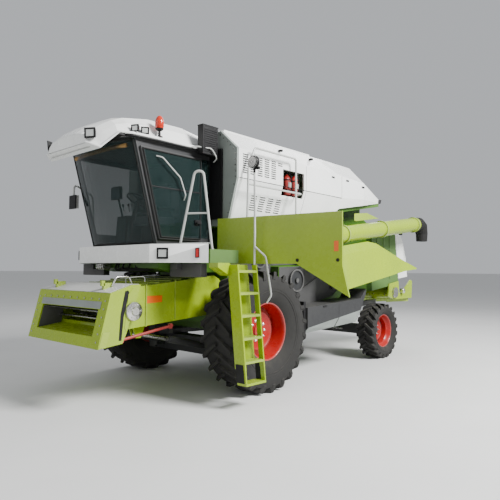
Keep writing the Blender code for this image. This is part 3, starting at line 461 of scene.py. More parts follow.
# %% Lenses and cloth
def lens(name, colour, slot="tinted_glass", scale=260.0):
    material = finish(name, colour, slot, rough=0.12, dust=0.08, fade=0.05, coat=0.6)
    tree = material.node_tree
    ribs = tree.nodes.new("ShaderNodeTexWave")
    ribs.inputs["Scale"].default_value = scale / 10
    where = next(n for n in tree.nodes if n.type == "TEX_COORD")
    link(tree, where, "Object", ribs, "Vector")
    bump = next(n for n in tree.nodes if n.type == "BUMP")
    bump.inputs["Strength"].default_value = 0.5
    link(tree, ribs, "Fac", bump, "Height")
    return material


def woven(name, colour, slot):
    material = finish(name, colour, slot, rough=0.9, dust=0.1, fade=0.2)
    tree = material.node_tree
    where = next(n for n in tree.nodes if n.type == "TEX_COORD")
    bump = next(n for n in tree.nodes if n.type == "BUMP")
    waves = []
    for direction in ("X", "Z"):
        wave = tree.nodes.new("ShaderNodeTexWave")
        wave.bands_direction = direction
        wave.inputs["Scale"].default_value = 90.0
        link(tree, where, "Object", wave, "Vector")
        waves.append(wave)
    both = tree.nodes.new("ShaderNodeMath")
    both.operation = "MAXIMUM"
    link(tree, waves[0], "Fac", both, 0)
    link(tree, waves[1], "Fac", both, 1)
    tree.links.new(both.outputs[0], bump.inputs["Height"])
    bump.inputs["Strength"].default_value = 0.6
    tree.nodes["Principled BSDF"].inputs["Sheen Weight"].default_value = 0.4
    return material


CLEAR = lens("clear lamp lens", (0.50, 0.52, 0.50))
RED_LENS = lens("red lamp lens", (0.50, 0.008, 0.005), "amber_lens")
ORANGE = lens("orange reflector", (0.80, 0.13, 0.008), "amber_lens")
CLOTH = woven("seat cloth", (0.05, 0.05, 0.06), "seat_cloth")
print("materials:", len(bpy.data.materials))

# %% [markdown]
# ## Painting the frame's own solids
# Plates, beams and housings from the frame stay in view where they are already the right shape. Each one
# gets its finish and a narrow bevel. A weld comes first, since imported faces don't share their corners.


# %% Dress the frame's solids
def dress(name, material, bevel):
    obj = nodes[name]
    obj.data.materials.clear()
    obj.data.materials.append(material)
    obj.data.normals_split_custom_set([(0.0, 0.0, 0.0)] * len(obj.data.loops))
    weld = obj.modifiers.new("weld", "WELD")
    weld.merge_threshold = 0.0002
    if bevel:
        soft_edge(obj, bevel)
    return obj


PLAN = {
    LIME: "feeder_house feeder_frame front_panel_left front_panel_right rear_panel_left rear_panel_right"
    " auger_tube ladder straw_chopper",
    # The body's sides, the platform and the straw hood are lime; their deep green is painted shade.
    GREEN: "main_body platform straw_hood",
    WHITE: "tank_hood tank_lid_left tank_lid_right rear_cover cab_fascia cab_roof",
    # The tank's front wall is white sheet; its grey is painted shade.
    GREY: "tank_front_wall",
    CHARCOAL: "front_axle rear_axle knuckle_left knuckle_right chassis_frame engine_block cab_frame cab_door"
    " side_box_left side_box_right seat_base feed_drum lift_barrel_left lift_barrel_right",
    STEEL: "lift_rod_left lift_rod_right",
    TUBE: "platform_handrail tank_handrail ladder_handrail mirror_right",
    PANE: "windscreen glass_right glass_quarter door_glass",
    PLASTIC: "air_box steering_column side_console",
    RUBBER: "auger_spout",
    AMBER: "beacon",
}
THIN = set((PLAN[PANE] + " " + PLAN[TUBE]).split())
MOULDED = {"tank_hood", "cab_roof", "rear_cover"}
for material, names in PLAN.items():
    for name in names.split():
        dress(name, material, 0 if name in THIN else 0.012 if name in MOULDED else 0.004)
print("dressed", sum(len(names.split()) for names in PLAN.values()), "solids")

# %% [markdown]
# ## Tractor tyres
# A drive tyre is a smooth carcass with tall slanted bars, called lugs, that meet in a chevron. The
# carcass is turned from its section: bead, bulging sidewall, shoulder and a slightly crowned tread. Each
# lug is a tapered bar that starts near the middle, leans back toward the shoulder and wraps a little way
# down the sidewall. The bars on the two sides are half a pitch apart, so one of them always carries the
# load and the ride is smooth.


# %% The carcass
def carcass(radius, width, bead, lug):
    """Half of the section as (along, radius), from the middle of the tread to the bead."""
    half, base = width / 2, radius - lug
    wall = base - bead
    return [
        (0.0, base),
        (half * 0.45, base - 0.002),
        (half * 0.80, base - 0.012),
        (half * 0.93, base - 0.035),
        (half * 0.985, base - wall * 0.25),
        (half * 0.99, base - wall * 0.42),
        (half * 0.95, base - wall * 0.62),
        (half * 0.84, base - wall * 0.82),
        (half * 0.74, base - wall * 0.95),
        (half * 0.70, bead + 0.006),
    ]


print("front carcass section:", len(carcass(FRONT_R, FRONT_W, FRONT_BEAD, 0.046)), "points")

# %% [markdown]
# ## The lugs
# Each lug could be a block dropped on the tread, but its foot would float over the crown. It is swept
# instead: nine cross-sections follow the carcass from the middle to the shoulder. The last two bend down
# the sidewall.


# %% One lug
SHOULDER = 0.8  # the share of a lug's length that lies on the tread
FRONT_LUGS, REAR_LUGS = 23, 21  # on each side of the tread


def lug_bar(mesh, centre, side, start, radius, width, lug, pitch):
    """A bar swept from near the middle of the tread to the shoulder and down the sidewall."""
    half, base = width / 2, radius - lug
    rows = []
    for k in range(9):
        t = k / 8
        run = min(t / SHOULDER, 1.0)
        across = side * half * (-0.06 + 1.055 * run)
        turn = start + pitch * 0.95 * run**1.15
        floor = base - 0.015
        top = radius - 0.0006 - 0.006 * (across / half) ** 2
        if t > SHOULDER:
            drop = (t - SHOULDER) / 0.2
            top = base + lug * 0.55 - drop * 0.105 * radius
            floor = top - lug * 1.2
            turn = start + pitch * (0.95 + 0.10 * drop)
            across = side * half * 0.995
        thick = 0.027 + 0.008 * t
        row = []
        for level, spread in ((floor, 1.45), (top, 0.85)):
            for way in (-1, 1):
                angle = turn + way * thick * spread / radius
                inset = 0.036 * side if (t > SHOULDER and level == floor) else 0.0
                spot = Vector((across - inset, math.cos(angle) * level, math.sin(angle) * level))
                row.append(mesh.verts.new(Vector(centre) + spot))
        rows.append((row[0], row[1], row[3], row[2]))
    mesh.faces.new(rows[0])
    mesh.faces.new(rows[-1])
    for row, after in zip(rows, rows[1:]):
        for c in range(4):
            n = (c + 1) % 4
            mesh.faces.new((row[c], row[n], after[n], after[c]))


print("front lugs are", round(2 * math.pi * FRONT_R / FRONT_LUGS, 3), "m apart")

# %% [markdown]
# ## Four tyres
# The carcass is mirrored to a closed section and turned. Then the lugs go on, the two sides half a pitch
# apart, and two thin raised rings on each sidewall, which are left by the mould.


# %% Build the tyres
def tyre(name, centre, radius, width, bead, lug, lugs, body, node):
    mesh = bmesh.new()
    section = carcass(radius, width, bead, lug)
    inner = [(section[-1][0] - 0.02, bead + 0.002), (section[-2][0] * 0.6, bead + 0.03)]
    mirrored = [(-a, r) for a, r in reversed(inner)] + [(-a, r) for a, r in reversed(section[1:])]
    turned(mesh, section + inner + mirrored, centre, (1, 0, 0), 72)
    pitch = 2 * math.pi / lugs
    for side in (-1, 1):
        for i in range(lugs):
            start = (i + (0.5 if side > 0 else 0.0)) * pitch
            lug_bar(mesh, centre, side, start, radius, width, lug, pitch)
    half, base = width / 2, radius - lug
    for side in (-1, 1):
        for share, wide in ((0.43, 0.98), (0.51, 0.985)):
            out = side * half * wide
            level = bead + (base - bead) * share
            ring = [(out - side * 0.006, level - 0.005), (out, level), (out - side * 0.006, level + 0.005)]
            turned(mesh, ring, centre, (1, 0, 0), 72)
    return piece(name, mesh, TYRE, body, bevel=0, smooth=32, slot="tyre_rubber", replaces=(node,))


for end, side in (("left", 1), ("right", -1)):
    tyre(
        "tyre_front_" + end, (FRONT_X * side, 0, FRONT_R), FRONT_R, FRONT_W, FRONT_BEAD, 0.046, FRONT_LUGS,
        "wheel_front_" + end, f"front_{end}_tyre",
    )
    tyre(
        "tyre_rear_" + end, (REAR_X * side, REAR_Y, REAR_R), REAR_R, REAR_W, REAR_BEAD, 0.034, REAR_LUGS,
        "wheel_rear_" + end, f"rear_{end}_tyre",
    )
print("tyres: four, with", FRONT_LUGS, "lugs a side in front and", REAR_LUGS, "behind")

# %% [markdown]
# ## Wheels
# A wheel is a rolled rim welded to a pressed disc. The rim's profile has a flange that holds the bead, a
# seat, and a drop in the middle that lets the tyre be fitted. The disc is dished outward on a drive
# wheel, bolts to the final drive's hub on a ring of nuts, and has a raised rib pressed into it for
# stiffness.


# %% The rim with its disc
def rim_and_disc(mesh, centre, side, bead, width, dish):
    half = width * 0.36
    outer = [
        (-half, bead + 0.010), (-half + 0.012, bead - 0.004), (-half + 0.05, bead - 0.012),
        (-half * 0.35, bead - 0.050),
    ]
    outer += [(-a, r) for a, r in reversed(outer)]
    inner = [(a, r - 0.011) for a, r in reversed(outer)]
    turned(mesh, outer + inner, centre, (side, 0, 0), 72)
    reach = bead - 0.055
    disc = [
        (dish - 0.012, 0.0),
        (dish - 0.012, reach * 0.62),
        (dish + 0.020, reach * 0.78),
        (dish - 0.030, reach + 0.004),
        (dish - 0.020, reach + 0.004),
        (dish + 0.032, reach * 0.78),
        (dish, reach * 0.62),
        (dish, 0.0),
    ]
    turned(mesh, disc, centre, (side, 0, 0), 72, closed=False)


print("front rim", round(2 * 0.36 * FRONT_W, 2), "m wide, rear", round(2 * 0.36 * REAR_W, 2))

# %% [markdown]
# ## Nuts and hubs
# A nut is a hexagon over a round washer, with the stud's end standing proud of it. The hub's cap is a low
# stepped disc with six bolts. Both are turned about the wheel's axis, so one ring function places them all.


# %% Wheel nuts and hub caps
def around(centre, count, radius, first=0.0):
    """Evenly spaced places on a circle about a wheel's axis."""
    for i in range(count):
        angle = 2 * math.pi * (i + first) / count
        yield Vector(centre) + Vector((0, math.cos(angle) * radius, math.sin(angle) * radius))


def nuts(mesh, centre, side, dish, count, ring):
    out = (side, 0, 0)
    washer = [(dish, 0.022), (dish + 0.003, 0.022), (dish + 0.003, 0.0)]
    nut = [(dish + 0.003, 0.015), (dish + 0.019, 0.015)]
    stud = [(dish + 0.022, 0.010), (dish + 0.030, 0.010), (dish + 0.030, 0.0)]
    for at in around(centre, count, ring):
        turned(mesh, washer, at, out, 18, closed=False)
        turned(mesh, nut + stud, at, out, 6, closed=False)


def hub_cap(mesh, centre, side, dish, hub):
    out = (side, 0, 0)
    cap = [(dish, hub + 0.014), (dish + 0.010, hub + 0.010), (dish + 0.012, hub), (dish + 0.030, hub - 0.004)]
    cap += [(dish + 0.0345, hub - 0.016), (dish + 0.0345, 0.0)]
    turned(mesh, cap, centre, out, 40, closed=False)
    bolt = [(dish + 0.030, 0.010), (dish + 0.0348, 0.010), (dish + 0.0348, 0.0)]
    for at in around(centre, 6, hub * 0.62, 0.5):
        turned(mesh, bolt, at, out, 6, closed=False)


print("ten nuts stand", round(2 * math.pi * 0.150 / 10, 3), "m apart")

# %% [markdown]
# ## Four wheels
# The same wheel is built four times. A front one is dished outward and its hub is red like its disc. The
# steered rear one has its disc set in, so that it turns close to its kingpin, and its hub is charcoal.


# %% Build the wheels
def wheel(name, centre, side, bead, width, dish, bolts, ring, hub, body, node):
    mesh = bmesh.new()
    rim_and_disc(mesh, centre, side, bead, width, dish)
    piece(name, mesh, RED, body, bevel=0.0, smooth=38, slot="red_paint", replaces=(node,))
    mesh = bmesh.new()
    nuts(mesh, centre, side, dish, bolts, ring)
    piece(name + "_nuts", mesh, STEEL, body, bevel=0.0, smooth=30, slot="bright_steel")
    mesh = bmesh.new()
    hub_cap(mesh, centre, side, dish, hub)
    paint, slot = (CHARCOAL, "charcoal_paint") if dish < 0 else (RED, "red_paint")
    piece(name + "_hub", mesh, paint, body, bevel=0.0, smooth=38, slot=slot)


for end, side in (("left", 1), ("right", -1)):
    wheel(
        "wheel_front_" + end, (FRONT_X * side, 0, FRONT_R), side, FRONT_BEAD, FRONT_W, 0.02, 10, 0.150, 0.100,
        "wheel_front_" + end, f"front_{end}_rim",
    )
    wheel(
        "wheel_rear_" + end, (REAR_X * side, REAR_Y, REAR_R), side, REAR_BEAD, REAR_W, -0.06, 8, 0.125, 0.075,
        "wheel_rear_" + end, f"rear_{end}_rim",
    )
print("wheels: four rims with discs, nuts and hubs")

# %% [markdown]
# ## Lamps
# A work lamp is a moulded cup with a flat glass in front of it. Every lamp on this machine is the same
# idea in another size, so one helper makes the cup and its lens and turns them to face any way.


# %% A square lamp
def facing(direction):
    return Vector(direction).normalized().to_track_quat("Y", "Z").to_matrix().to_4x4()


def square_lamp(name, at, direction, wide, high, deep, body="chassis", glass_finish=None, rim=0.010):
    turn = Matrix.Translation(Vector(at)) @ facing(direction)
    mesh = bmesh.new()
    cup = slab(mesh, (-wide / 2, -deep, -high / 2), (wide / 2, 0, high / 2))
    for vert in cup:
        if vert.co.y < -deep / 2:
            vert.co.x *= 0.72
            vert.co.z *= 0.72
    for low, top in (
        ((-wide / 2, 0, -high / 2), (-wide / 2 + rim, 0.008, high / 2)),
        ((wide / 2 - rim, 0, -high / 2), (wide / 2, 0.008, high / 2)),
        ((-wide / 2 + rim, 0, -high / 2), (wide / 2 - rim, 0.008, -high / 2 + rim)),
        ((-wide / 2 + rim, 0, high / 2 - rim), (wide / 2 - rim, 0.008, high / 2)),
    ):
        slab(mesh, low, top)
    mesh.transform(turn)
    piece(name, mesh, PLASTIC, body, bevel=0.003)
    mesh = bmesh.new()
    slab(mesh, (-wide / 2 + rim, 0.0005, -high / 2 + rim), (wide / 2 - rim, 0.005, high / 2 - rim))
    mesh.transform(turn)
    piece(name + "_lens", mesh, glass_finish or CLEAR, body, bevel=0.002)


for side, word in ((1, "left"), (-1, "right")):
    square_lamp(
        "visor_lamp_" + word, (side * 0.560, -2.350, 3.555), (side * 0.6, -1, -0.10), 0.155, 0.135, 0.06,
        rim=0.024,
    )
    square_lamp(
        "roof_lamp_front_" + word, (side * 0.845, -1.86, 3.668), (side * 0.55, -1, 0), 0.11, 0.10, 0.06,
        rim=0.018,
    )
    square_lamp(
        "roof_lamp_rear_" + word, (side * 0.848, -1.70, 3.668), (side * 1.0, -0.7, 0), 0.11, 0.10, 0.06,
        rim=0.018,
    )
print("roof lamps: six")

# %% [markdown]
# ## The cab's roof
# The roof is one white moulding on a dark rail. A visor hangs forward over the windscreen, with a flat
# panel on its underside. The rail is a tube bent round each side, since that is how the real one is made.
# A whip aerial leans back from the crown, and it gets thinner toward its tip.

# %% Roof rail, visor panel and aerial
mesh = bmesh.new()
for side in (-1, 1):
    path = rounded(
        [
            (side * 0.70, -2.02, 3.560), (side * 0.845, -1.90, 3.566), (side * 0.862, -1.50, 3.568),
            (side * 0.862, -0.52, 3.566),
        ],
        0.08,
    )
    pipe(mesh, path, 0.015)
slab(mesh, (-0.80, -2.06, 3.548), (0.80, -1.98, 3.578))
piece("roof_rail", mesh, PLASTIC)
mesh = bmesh.new()
plate(
    mesh,
    [(-0.50, -2.330), (0.50, -2.330), (0.64, -2.10), (0.58, -2.02), (-0.58, -2.02), (-0.64, -2.10)],
    "Z",
    0.0,
    0.012,
)
for vert in mesh.verts:
    lean = (vert.co.y + 2.36) / 0.31
    vert.co.z += 3.385 + lean * 0.16 if vert.co.y > -2.2 else 3.372
piece("visor_underside", mesh, TUBE, slot="tube_grey")
mesh = bmesh.new()
pipe(mesh, [(0.18, -1.62, 3.945), (0.18, -1.40, 3.985), (0.18, -0.92, 4.090)], [0.007, 0.0035, 0.0016], 8)
turned(
    mesh,
    [(0, 0.022), (0.018, 0.018), (0.030, 0.008), (0.030, 0)],
    (0.18, -1.64, 3.925),
    (0, 0, 1),
    16,
    closed=False,
)
piece("aerial", mesh, PLASTIC, bevel=0)
print("roof rail, visor panel and aerial")

# %% [markdown]
# ## The beacon
# A beacon is a coloured dome on a black stem. The frame has one plain solid for both, so the dome and the
# stem together stand in for it. Fine raised rings round the dome's foot are what make it look moulded.

# %% Beacon
BEACON = (0.85, -1.46, 3.6215)
mesh = bmesh.new()
turned(
    mesh,
    [
        (0, 0), (0, 0.045), (0.012, 0.045), (0.020, 0.020), (0.085, 0.017), (0.095, 0.040), (0.118, 0.058),
        (0.122, 0.058), (0.122, 0),
    ],
    BEACON,
    (0, 0, 1),
    28,
    closed=False,
)
piece("beacon_stem", mesh, PLASTIC, bevel=0, replaces=("beacon",))
mesh = bmesh.new()
dome = [
    (0.122, 0.0), (0.122, 0.052), (0.16, 0.061), (0.20, 0.062), (0.24, 0.056), (0.275, 0.042),
    (0.297, 0.022), (0.305, 0.0),
]
turned(mesh, dome, BEACON, (0, 0, 1), 28, closed=False)
for k in range(5):
    turned(
        mesh,
        [(0.150 + k * 0.014, 0.0600), (0.154 + k * 0.014, 0.0640), (0.158 + k * 0.014, 0.0600)],
        BEACON,
        (0, 0, 1),
        28,
    )
piece("beacon_dome", mesh, AMBER, bevel=0)
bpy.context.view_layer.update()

# %% [markdown]
# ## The windscreen's seal
# Each pane sits in a black rubber seal that follows its edge. The windscreen is bowed and leans forward,
# so two small functions give the front pillar's line at a height and the bow at a distance from the
# middle.


# %% Windscreen seal
def pillar(z):
    """The front pillar's place at a height, as Y."""
    return -1.43 - 0.40 * (z - 2.10) / 1.48


def bow(x):
    """How far the windscreen stands out at a distance from the middle."""
    return 0.17 * (1 - (x / 0.8) ** 2)


mesh = bmesh.new()
for z in (2.165, 3.540):
    path = [(x / 20 * 0.755, pillar(z) - bow(x / 20 * 0.755) - 0.010, z) for x in range(-20, 21)]
    pipe(mesh, path, 0.013, 8)
for side in (-1, 1):
    pipe(mesh, [(side * 0.772, pillar(z) - bow(0.772) - 0.008, z) for z in (2.16, 2.6, 3.1, 3.545)], 0.013, 8)
piece("windscreen_seal", mesh, RUBBER, bevel=0, slot="rubber")
print("pillar at the foot and the top:", round(pillar(2.16), 3), round(pillar(3.545), 3))

# %% [markdown]
# ## The door's own trim
# The door has a lever handle low on its rear edge, a bar across its pane and a bent tube to pull it by.
# All of them ride on the door, so they swing with it. Behind the door a black post closes the cab's rear
# corner.

# %% Door seal, handle and grab tube
mesh = bmesh.new()
edge = [
    (0.851, pillar(2.25) + 0.062, 2.25), (0.851, pillar(3.43) + 0.062, 3.43), (0.851, -0.682, 3.43),
    (0.851, -0.682, 2.25),
]
for a, b in zip(edge, edge[1:] + edge[:1]):
    pipe(mesh, [a, b], 0.009, 8)
piece("door_seal", mesh, RUBBER, "door", bevel=0, slot="rubber")
mesh = bmesh.new()
pipe(
    mesh,
    rounded(
        [
            (0.842, -1.50, 3.36), (0.905, -1.44, 3.34), (0.905, -1.12, 3.10), (0.905, -1.02, 2.86),
            (0.842, -1.00, 2.80),
        ],
        0.06,
    ),
    0.010,
)
piece("door_grab_tube", mesh, TUBE, "door", bevel=0, slot="tube_grey")
mesh = bmesh.new()
slab(mesh, (0.8465, -0.80, 2.46), (0.868, -0.70, 2.53))
slab(mesh, (0.868, -0.785, 2.475), (0.892, -0.765, 2.495))
slab(mesh, (0.888, -0.79, 2.47), (0.902, -0.70, 2.50))
piece("door_handle", mesh, PLASTIC, "door", bevel=0.004)
mesh = bmesh.new()
slab(mesh, (0.843, pillar(2.95) + 0.08, 2.925), (0.852, -0.69, 2.945))
piece("door_cross_bar", mesh, PLASTIC, "door", bevel=0.003)
mesh = bmesh.new()
for side in (-1, 1):
    slab(mesh, (side * 0.80 - 0.012, -0.475, 2.16), (side * 0.80 + 0.012, -0.445, 3.50))
slab(mesh, (0.60, -0.455, 2.56), (1.06, -0.430, 3.62))
slab(mesh, (-1.06, -0.455, 2.56), (-0.60, -0.430, 3.62))
piece("cab_rear_bar", mesh, PLASTIC, bevel=0.004)
print("door trim rides on the door")

# %% [markdown]
# ## Inside the cab
# What shows through the glass is the seat, the wheel on its column, a console and a blind under the roof.
# The seat is foam under cloth. Simulating it isn't worth the time behind dark glass: its blocks are
# subdivided, crowned a little in the middle, and rounded over by one level of subdivision, as foam rounds
# over.

# %% The seat
mesh = bmesh.new()
for low, high in (
    ((-0.25, -1.12, 2.482), (0.25, -0.66, 2.615)),
    ((-0.235, -0.735, 2.60), (0.235, -0.56, 3.10)),
    ((-0.15, -0.715, 3.09), (0.15, -0.60, 3.17)),
):
    made = slab(mesh, low, high)
    edges = list({e for v in made for e in v.link_edges})
    bmesh.ops.subdivide_edges(mesh, edges=edges, cuts=5, use_grid_fill=True)
for vert in mesh.verts:
    x, y, z = vert.co
    if z > 2.60 and y < -0.76:
        vert.co.z += 0.018 * math.cos(x / 0.25 * math.pi * 0.5) - 0.010
    if y < -0.70 and z > 2.66:
        vert.co.y -= 0.022 * (abs(x) / 0.235) ** 3
seat = piece("seat_foam", mesh, CLOTH, bevel=0, smooth=60, slot="seat_cloth", replaces=("seat_cushion",))
round_over = seat.modifiers.new("round over", "SUBSURF")
round_over.levels = 1
round_over.render_levels = 1
print("seat foam:", len(seat.data.vertices), "points before it is softened")

# %% [markdown]
# ## Controls and the blind
# The driver's hands need armrests, three levers with round knobs, a row of switches and a monitor. The
# blind is a roll of brown cloth. It is a tube bent to follow the windscreen's bow, just below the roof.

# %% Levers, monitor, blind and wheel boss
mesh = bmesh.new()
for side in (-1, 1):
    slab(mesh, (side * 0.29 - 0.035, -1.05, 2.70), (side * 0.29 + 0.035, -0.74, 2.745))
for k, y in enumerate((-1.12, -1.02, -0.90)):
    pipe(mesh, [(-0.47, y, 2.72), (-0.47, y - 0.02, 2.80 + 0.02 * k)], 0.008, 8)
    turned(
        mesh,
        [(0, 0), (0, 0.016), (0.03, 0.020), (0.045, 0.012), (0.048, 0)],
        (-0.47, y - 0.02, 2.79 + 0.02 * k),
        (0, 0, 1),
        14,
        closed=False,
    )
for k in range(4):
    slab(mesh, (-0.575 + k * 0.035, -0.80, 2.72), (-0.555 + k * 0.035, -0.76, 2.728))
piece("armrests_and_levers", mesh, PLASTIC, bevel=0.006)
mesh = bmesh.new()
slab(mesh, (-0.60, -1.2735, 2.915), (-0.40, -1.2705, 3.085))
piece("monitor_screen", mesh, glass("screen", (0.03, 0.05, 0.06), 0.08), bevel=0.001, slot="tinted_glass")
mesh = bmesh.new()
path = [
    (-0.66, pillar(3.46) - 0.06, 3.47), (-0.3, pillar(3.46) - 0.11, 3.47), (0.3, pillar(3.46) - 0.11, 3.47),
    (0.66, pillar(3.46) - 0.06, 3.47),
]
pipe(mesh, path, 0.030, 14)
piece(
    "rolled_blind",
    mesh,
    finish("blind cloth", (0.36, 0.20, 0.06), "seat_cloth", rough=0.85, grain=0.08, grain_scale=300),
    bevel=0,
    slot="seat_cloth",
)
mesh = bmesh.new()
column = Vector((0, 0.42, 0.9))
foot = Vector((0, -1.17, 2.86)) + column.normalized() * 0.012
turned(
    mesh,
    [(0, 0), (0, 0.055), (0.012, 0.060), (0.020, 0.050), (0.026, 0.030), (0.030, 0)],
    foot,
    column,
    24,
    closed=False,
)
piece("wheel_boss", mesh, PLASTIC, bevel=0)
print("controls: three levers, a monitor and a blind")

# %% [markdown]
# ## The platform's front skirt
# The white skirt is folded back at each side. The folded face carries a square headlamp and a narrow red
# marker, so both lamps are turned to that face's own direction. A dark frame carries the platform from
# below.

# %% Skirt lamps and the frame below them
for side, word in ((1, "left"), (-1, "right")):
    out = Vector((side * 0.4856, -0.8741, 0))
    at = Vector((side * 1.065, -1.5483, 2.015)) + out * 0.004
    square_lamp("headlamp_" + word, at, out, 0.165, 0.150, 0.010, rim=0.026)
    at = Vector((side * 1.490, -1.3122, 2.02)) + out * 0.004
    square_lamp("marker_lamp_" + word, at, out, 0.060, 0.130, 0.008, glass_finish=RED_LENS, rim=0.010)
mesh = bmesh.new()
for side in (-1, 1):
    slab(mesh, (side * 1.16 - 0.32, -1.24, 1.70), (side * 1.16 + 0.32, -1.13, 1.885))
    slab(mesh, (side * 1.05 - 0.05, -1.34, 1.80), (side * 1.05 + 0.05, -1.24, 1.885))
slab(mesh, (-0.80, -1.60, 1.885), (0.80, -1.44, 1.935))
piece("platform_underframe", mesh, CHARCOAL, bevel=0.006)
print("skirt lamps: two headlamps and two markers")

# %% [markdown]
# ## Hoses and the header's coupler
# Hydraulic and electric lines hang below the cab and plug into a block that the header's own lines meet.
# A hose is a smooth curve, never straight runs, so each one sags through rounded corners, a little
# differently from its neighbours.

# %% Hoses and coupler
mesh = bmesh.new()
starts = [
    (-0.22, -1.40, 1.90), (-0.14, -1.44, 1.90), (-0.05, -1.46, 1.90), (0.06, -1.46, 1.90),
    (0.16, -1.42, 1.90), (0.28, -1.38, 1.90),
]
for k, start in enumerate(starts):
    start = Vector(start)
    sag = 1.79 + 0.015 * (k % 3)
    end = Vector((0.40 + 0.075 * k, -1.30 + 0.02 * k, 1.83))
    middle = (start + end) / 2
    pipe(
        mesh,
        rounded(
            [
                start, (start.x, start.y - 0.05, sag), (middle.x, middle.y - 0.06, sag - 0.01),
                (end.x, end.y - 0.04, sag + 0.01), end,
            ],
            0.08,
            7,
        ),
        0.011 + 0.002 * (k % 2),
        10,
    )
piece("header_hoses", mesh, RUBBER, bevel=0, slot="rubber")
mesh = bmesh.new()
slab(mesh, (-0.45, -1.58, 1.795), (-0.30, -1.46, 1.885))
slab(mesh, (-0.46, -1.60, 1.80), (-0.29, -1.58, 1.88))
for k in range(3):
    for row in range(2):
        turned(
            mesh,
            [(0, 0.016), (0.022, 0.016), (0.022, 0.010), (0.030, 0.010), (0.030, 0)],
            (-0.425 + k * 0.05, -1.60, 1.818 + row * 0.042),
            (0, -1, 0),
            14,
            closed=False,
        )
piece("coupler_block", mesh, STEEL, bevel=0.004, slot="bright_steel")
print("hoses:", len(starts))

# %% [markdown]
# ## The grain tank's side
# The white side folds at a knee: upright above it, leaning in below it. Air reaches the cooler through
# groups of louvres pressed into both faces. A louvre is a slot with a small hood over it, so each one
# here is a dark slot and a thin wedge of sheet. The right side is the same without the recess.


# %% Louvres
KNEE = 3.16  # the height of the fold


def side_x(z):
    """The tank side's distance from the middle plane."""
    if z > KNEE:
        return 1.35
    return 1.15 + 0.20 * (z - 2.555) / 0.605


def louvres(white, dark, side, y, wide, low, high, pitch=0.034):
    count = int((high - low) / pitch)
    for k in range(count):
        z = low + (k + 0.5) * pitch
        x, top, foot = side_x(z), side_x(z + pitch * 0.32), side_x(z - pitch * 0.3)
        hood = [
            (top, z + pitch * 0.32), (x + 0.011, z - pitch * 0.02), (x + 0.009, z - pitch * 0.08),
            (top - 0.002, z + pitch * 0.20),
        ]
        plate(white, [(side * a, b) for a, b in hood], "Y", y, y + wide)
        slot = [
            (x - 0.003, z + pitch * 0.10), (x + 0.0024, z + pitch * 0.10),
            (foot + 0.0024, z - pitch * 0.44), (foot - 0.003, z - pitch * 0.44),
        ]
        plate(dark, [(side * a, b) for a, b in slot], "Y", y + 0.004, y + wide - 0.004)


for side, word in ((1, "left"), (-1, "right")):
    white, dark = bmesh.new(), bmesh.new()
    for k in range(6):
        y = -0.30 + k * 0.165
        if side > 0 and k == 5:
            louvres(white, dark, side, y, 0.118, 3.47, 3.56)
        else:
            louvres(white, dark, side, y, 0.118, 3.24, 3.56)
    for k in range(4):
        louvres(white, dark, side, -0.02 + k * 0.200, 0.130, 2.72, 2.96)
    piece("louvre_hoods_" + word, white, WHITE, bevel=0, slot="white_paint")
    piece("louvre_slots_" + word, dark, PLASTIC, bevel=0)
print("louvres: six and four groups on each side")

# %% [markdown]
# ## Seams, catches and lid ribs
# A panel gap is a dark line a few millimetres wide. It is made as a thin dark strip that stands a hair
# off the sheet, which reads as a gap without cutting the sheet. Small black catches hold the panels, and
# pressed ribs keep the lids stiff. The ribs ride on the lids.

# %% Seams and catches
for side, word in ((1, "left"), (-1, "right")):
    mesh = bmesh.new()
    strips = [
        (-0.375, 3.155, 2.44, 3.165), (1.300, 3.16, 1.306, 3.585), (1.300, 2.57, 1.306, 3.16),
        (2.44, 3.17, 2.446, 3.575),
    ]
    for y0, z0, y1, z1 in strips:
        a, b = side_x(z0) + 0.0006, side_x(z1) + 0.0006
        outline = [
            (side * (a - 0.004), z0), (side * (a + 0.0006), z0), (side * (b + 0.0006), z1),
            (side * (b - 0.004), z1),
        ]
        plate(mesh, outline, "Y", y0, y1)
    piece("tank_seams_" + word, mesh, PLASTIC, bevel=0)
    mesh = bmesh.new()
    for y in (0.75, 1.62):
        slab(mesh, (side * 1.20 - 0.035, y, 3.765), (side * 1.20 + 0.035, y + 0.05, 3.800))
    for y, z in ((2.10, 3.50), (2.60, 3.50), (3.20, 3.45)):
        slab(mesh, (side * 1.3520 - 0.008, y, z), (side * 1.3520 + 0.006, y + 0.09, z + 0.03))
    piece("tank_catches_" + word, mesh, PLASTIC, bevel=0.004)
    mesh = bmesh.new()
    for k in range(9):
        slab(
            mesh,
            (0.10 if side > 0 else -0.90, -0.20 + k * 0.245, 3.9452),
            (0.90 if side > 0 else -0.10, -0.185 + k * 0.245, 3.956),
        )
    slab(mesh, (side * 0.62 - 0.06, 1.80, 3.945), (side * 0.62 + 0.06, 1.83, 3.968))
    piece("lid_ribs_" + word, mesh, WHITE, "lid_" + word, bevel=0.003, slot="white_paint")
print("seams, catches and nine ribs on each lid")

# %% [markdown]
# ## Fire extinguishers
# Two red bottles hang in the recess in the tank's left side. A bottle is one turned profile: flat foot,
# straight wall, round shoulder and neck. The valve, lever, hose and straps are black and share a second
# mesh.

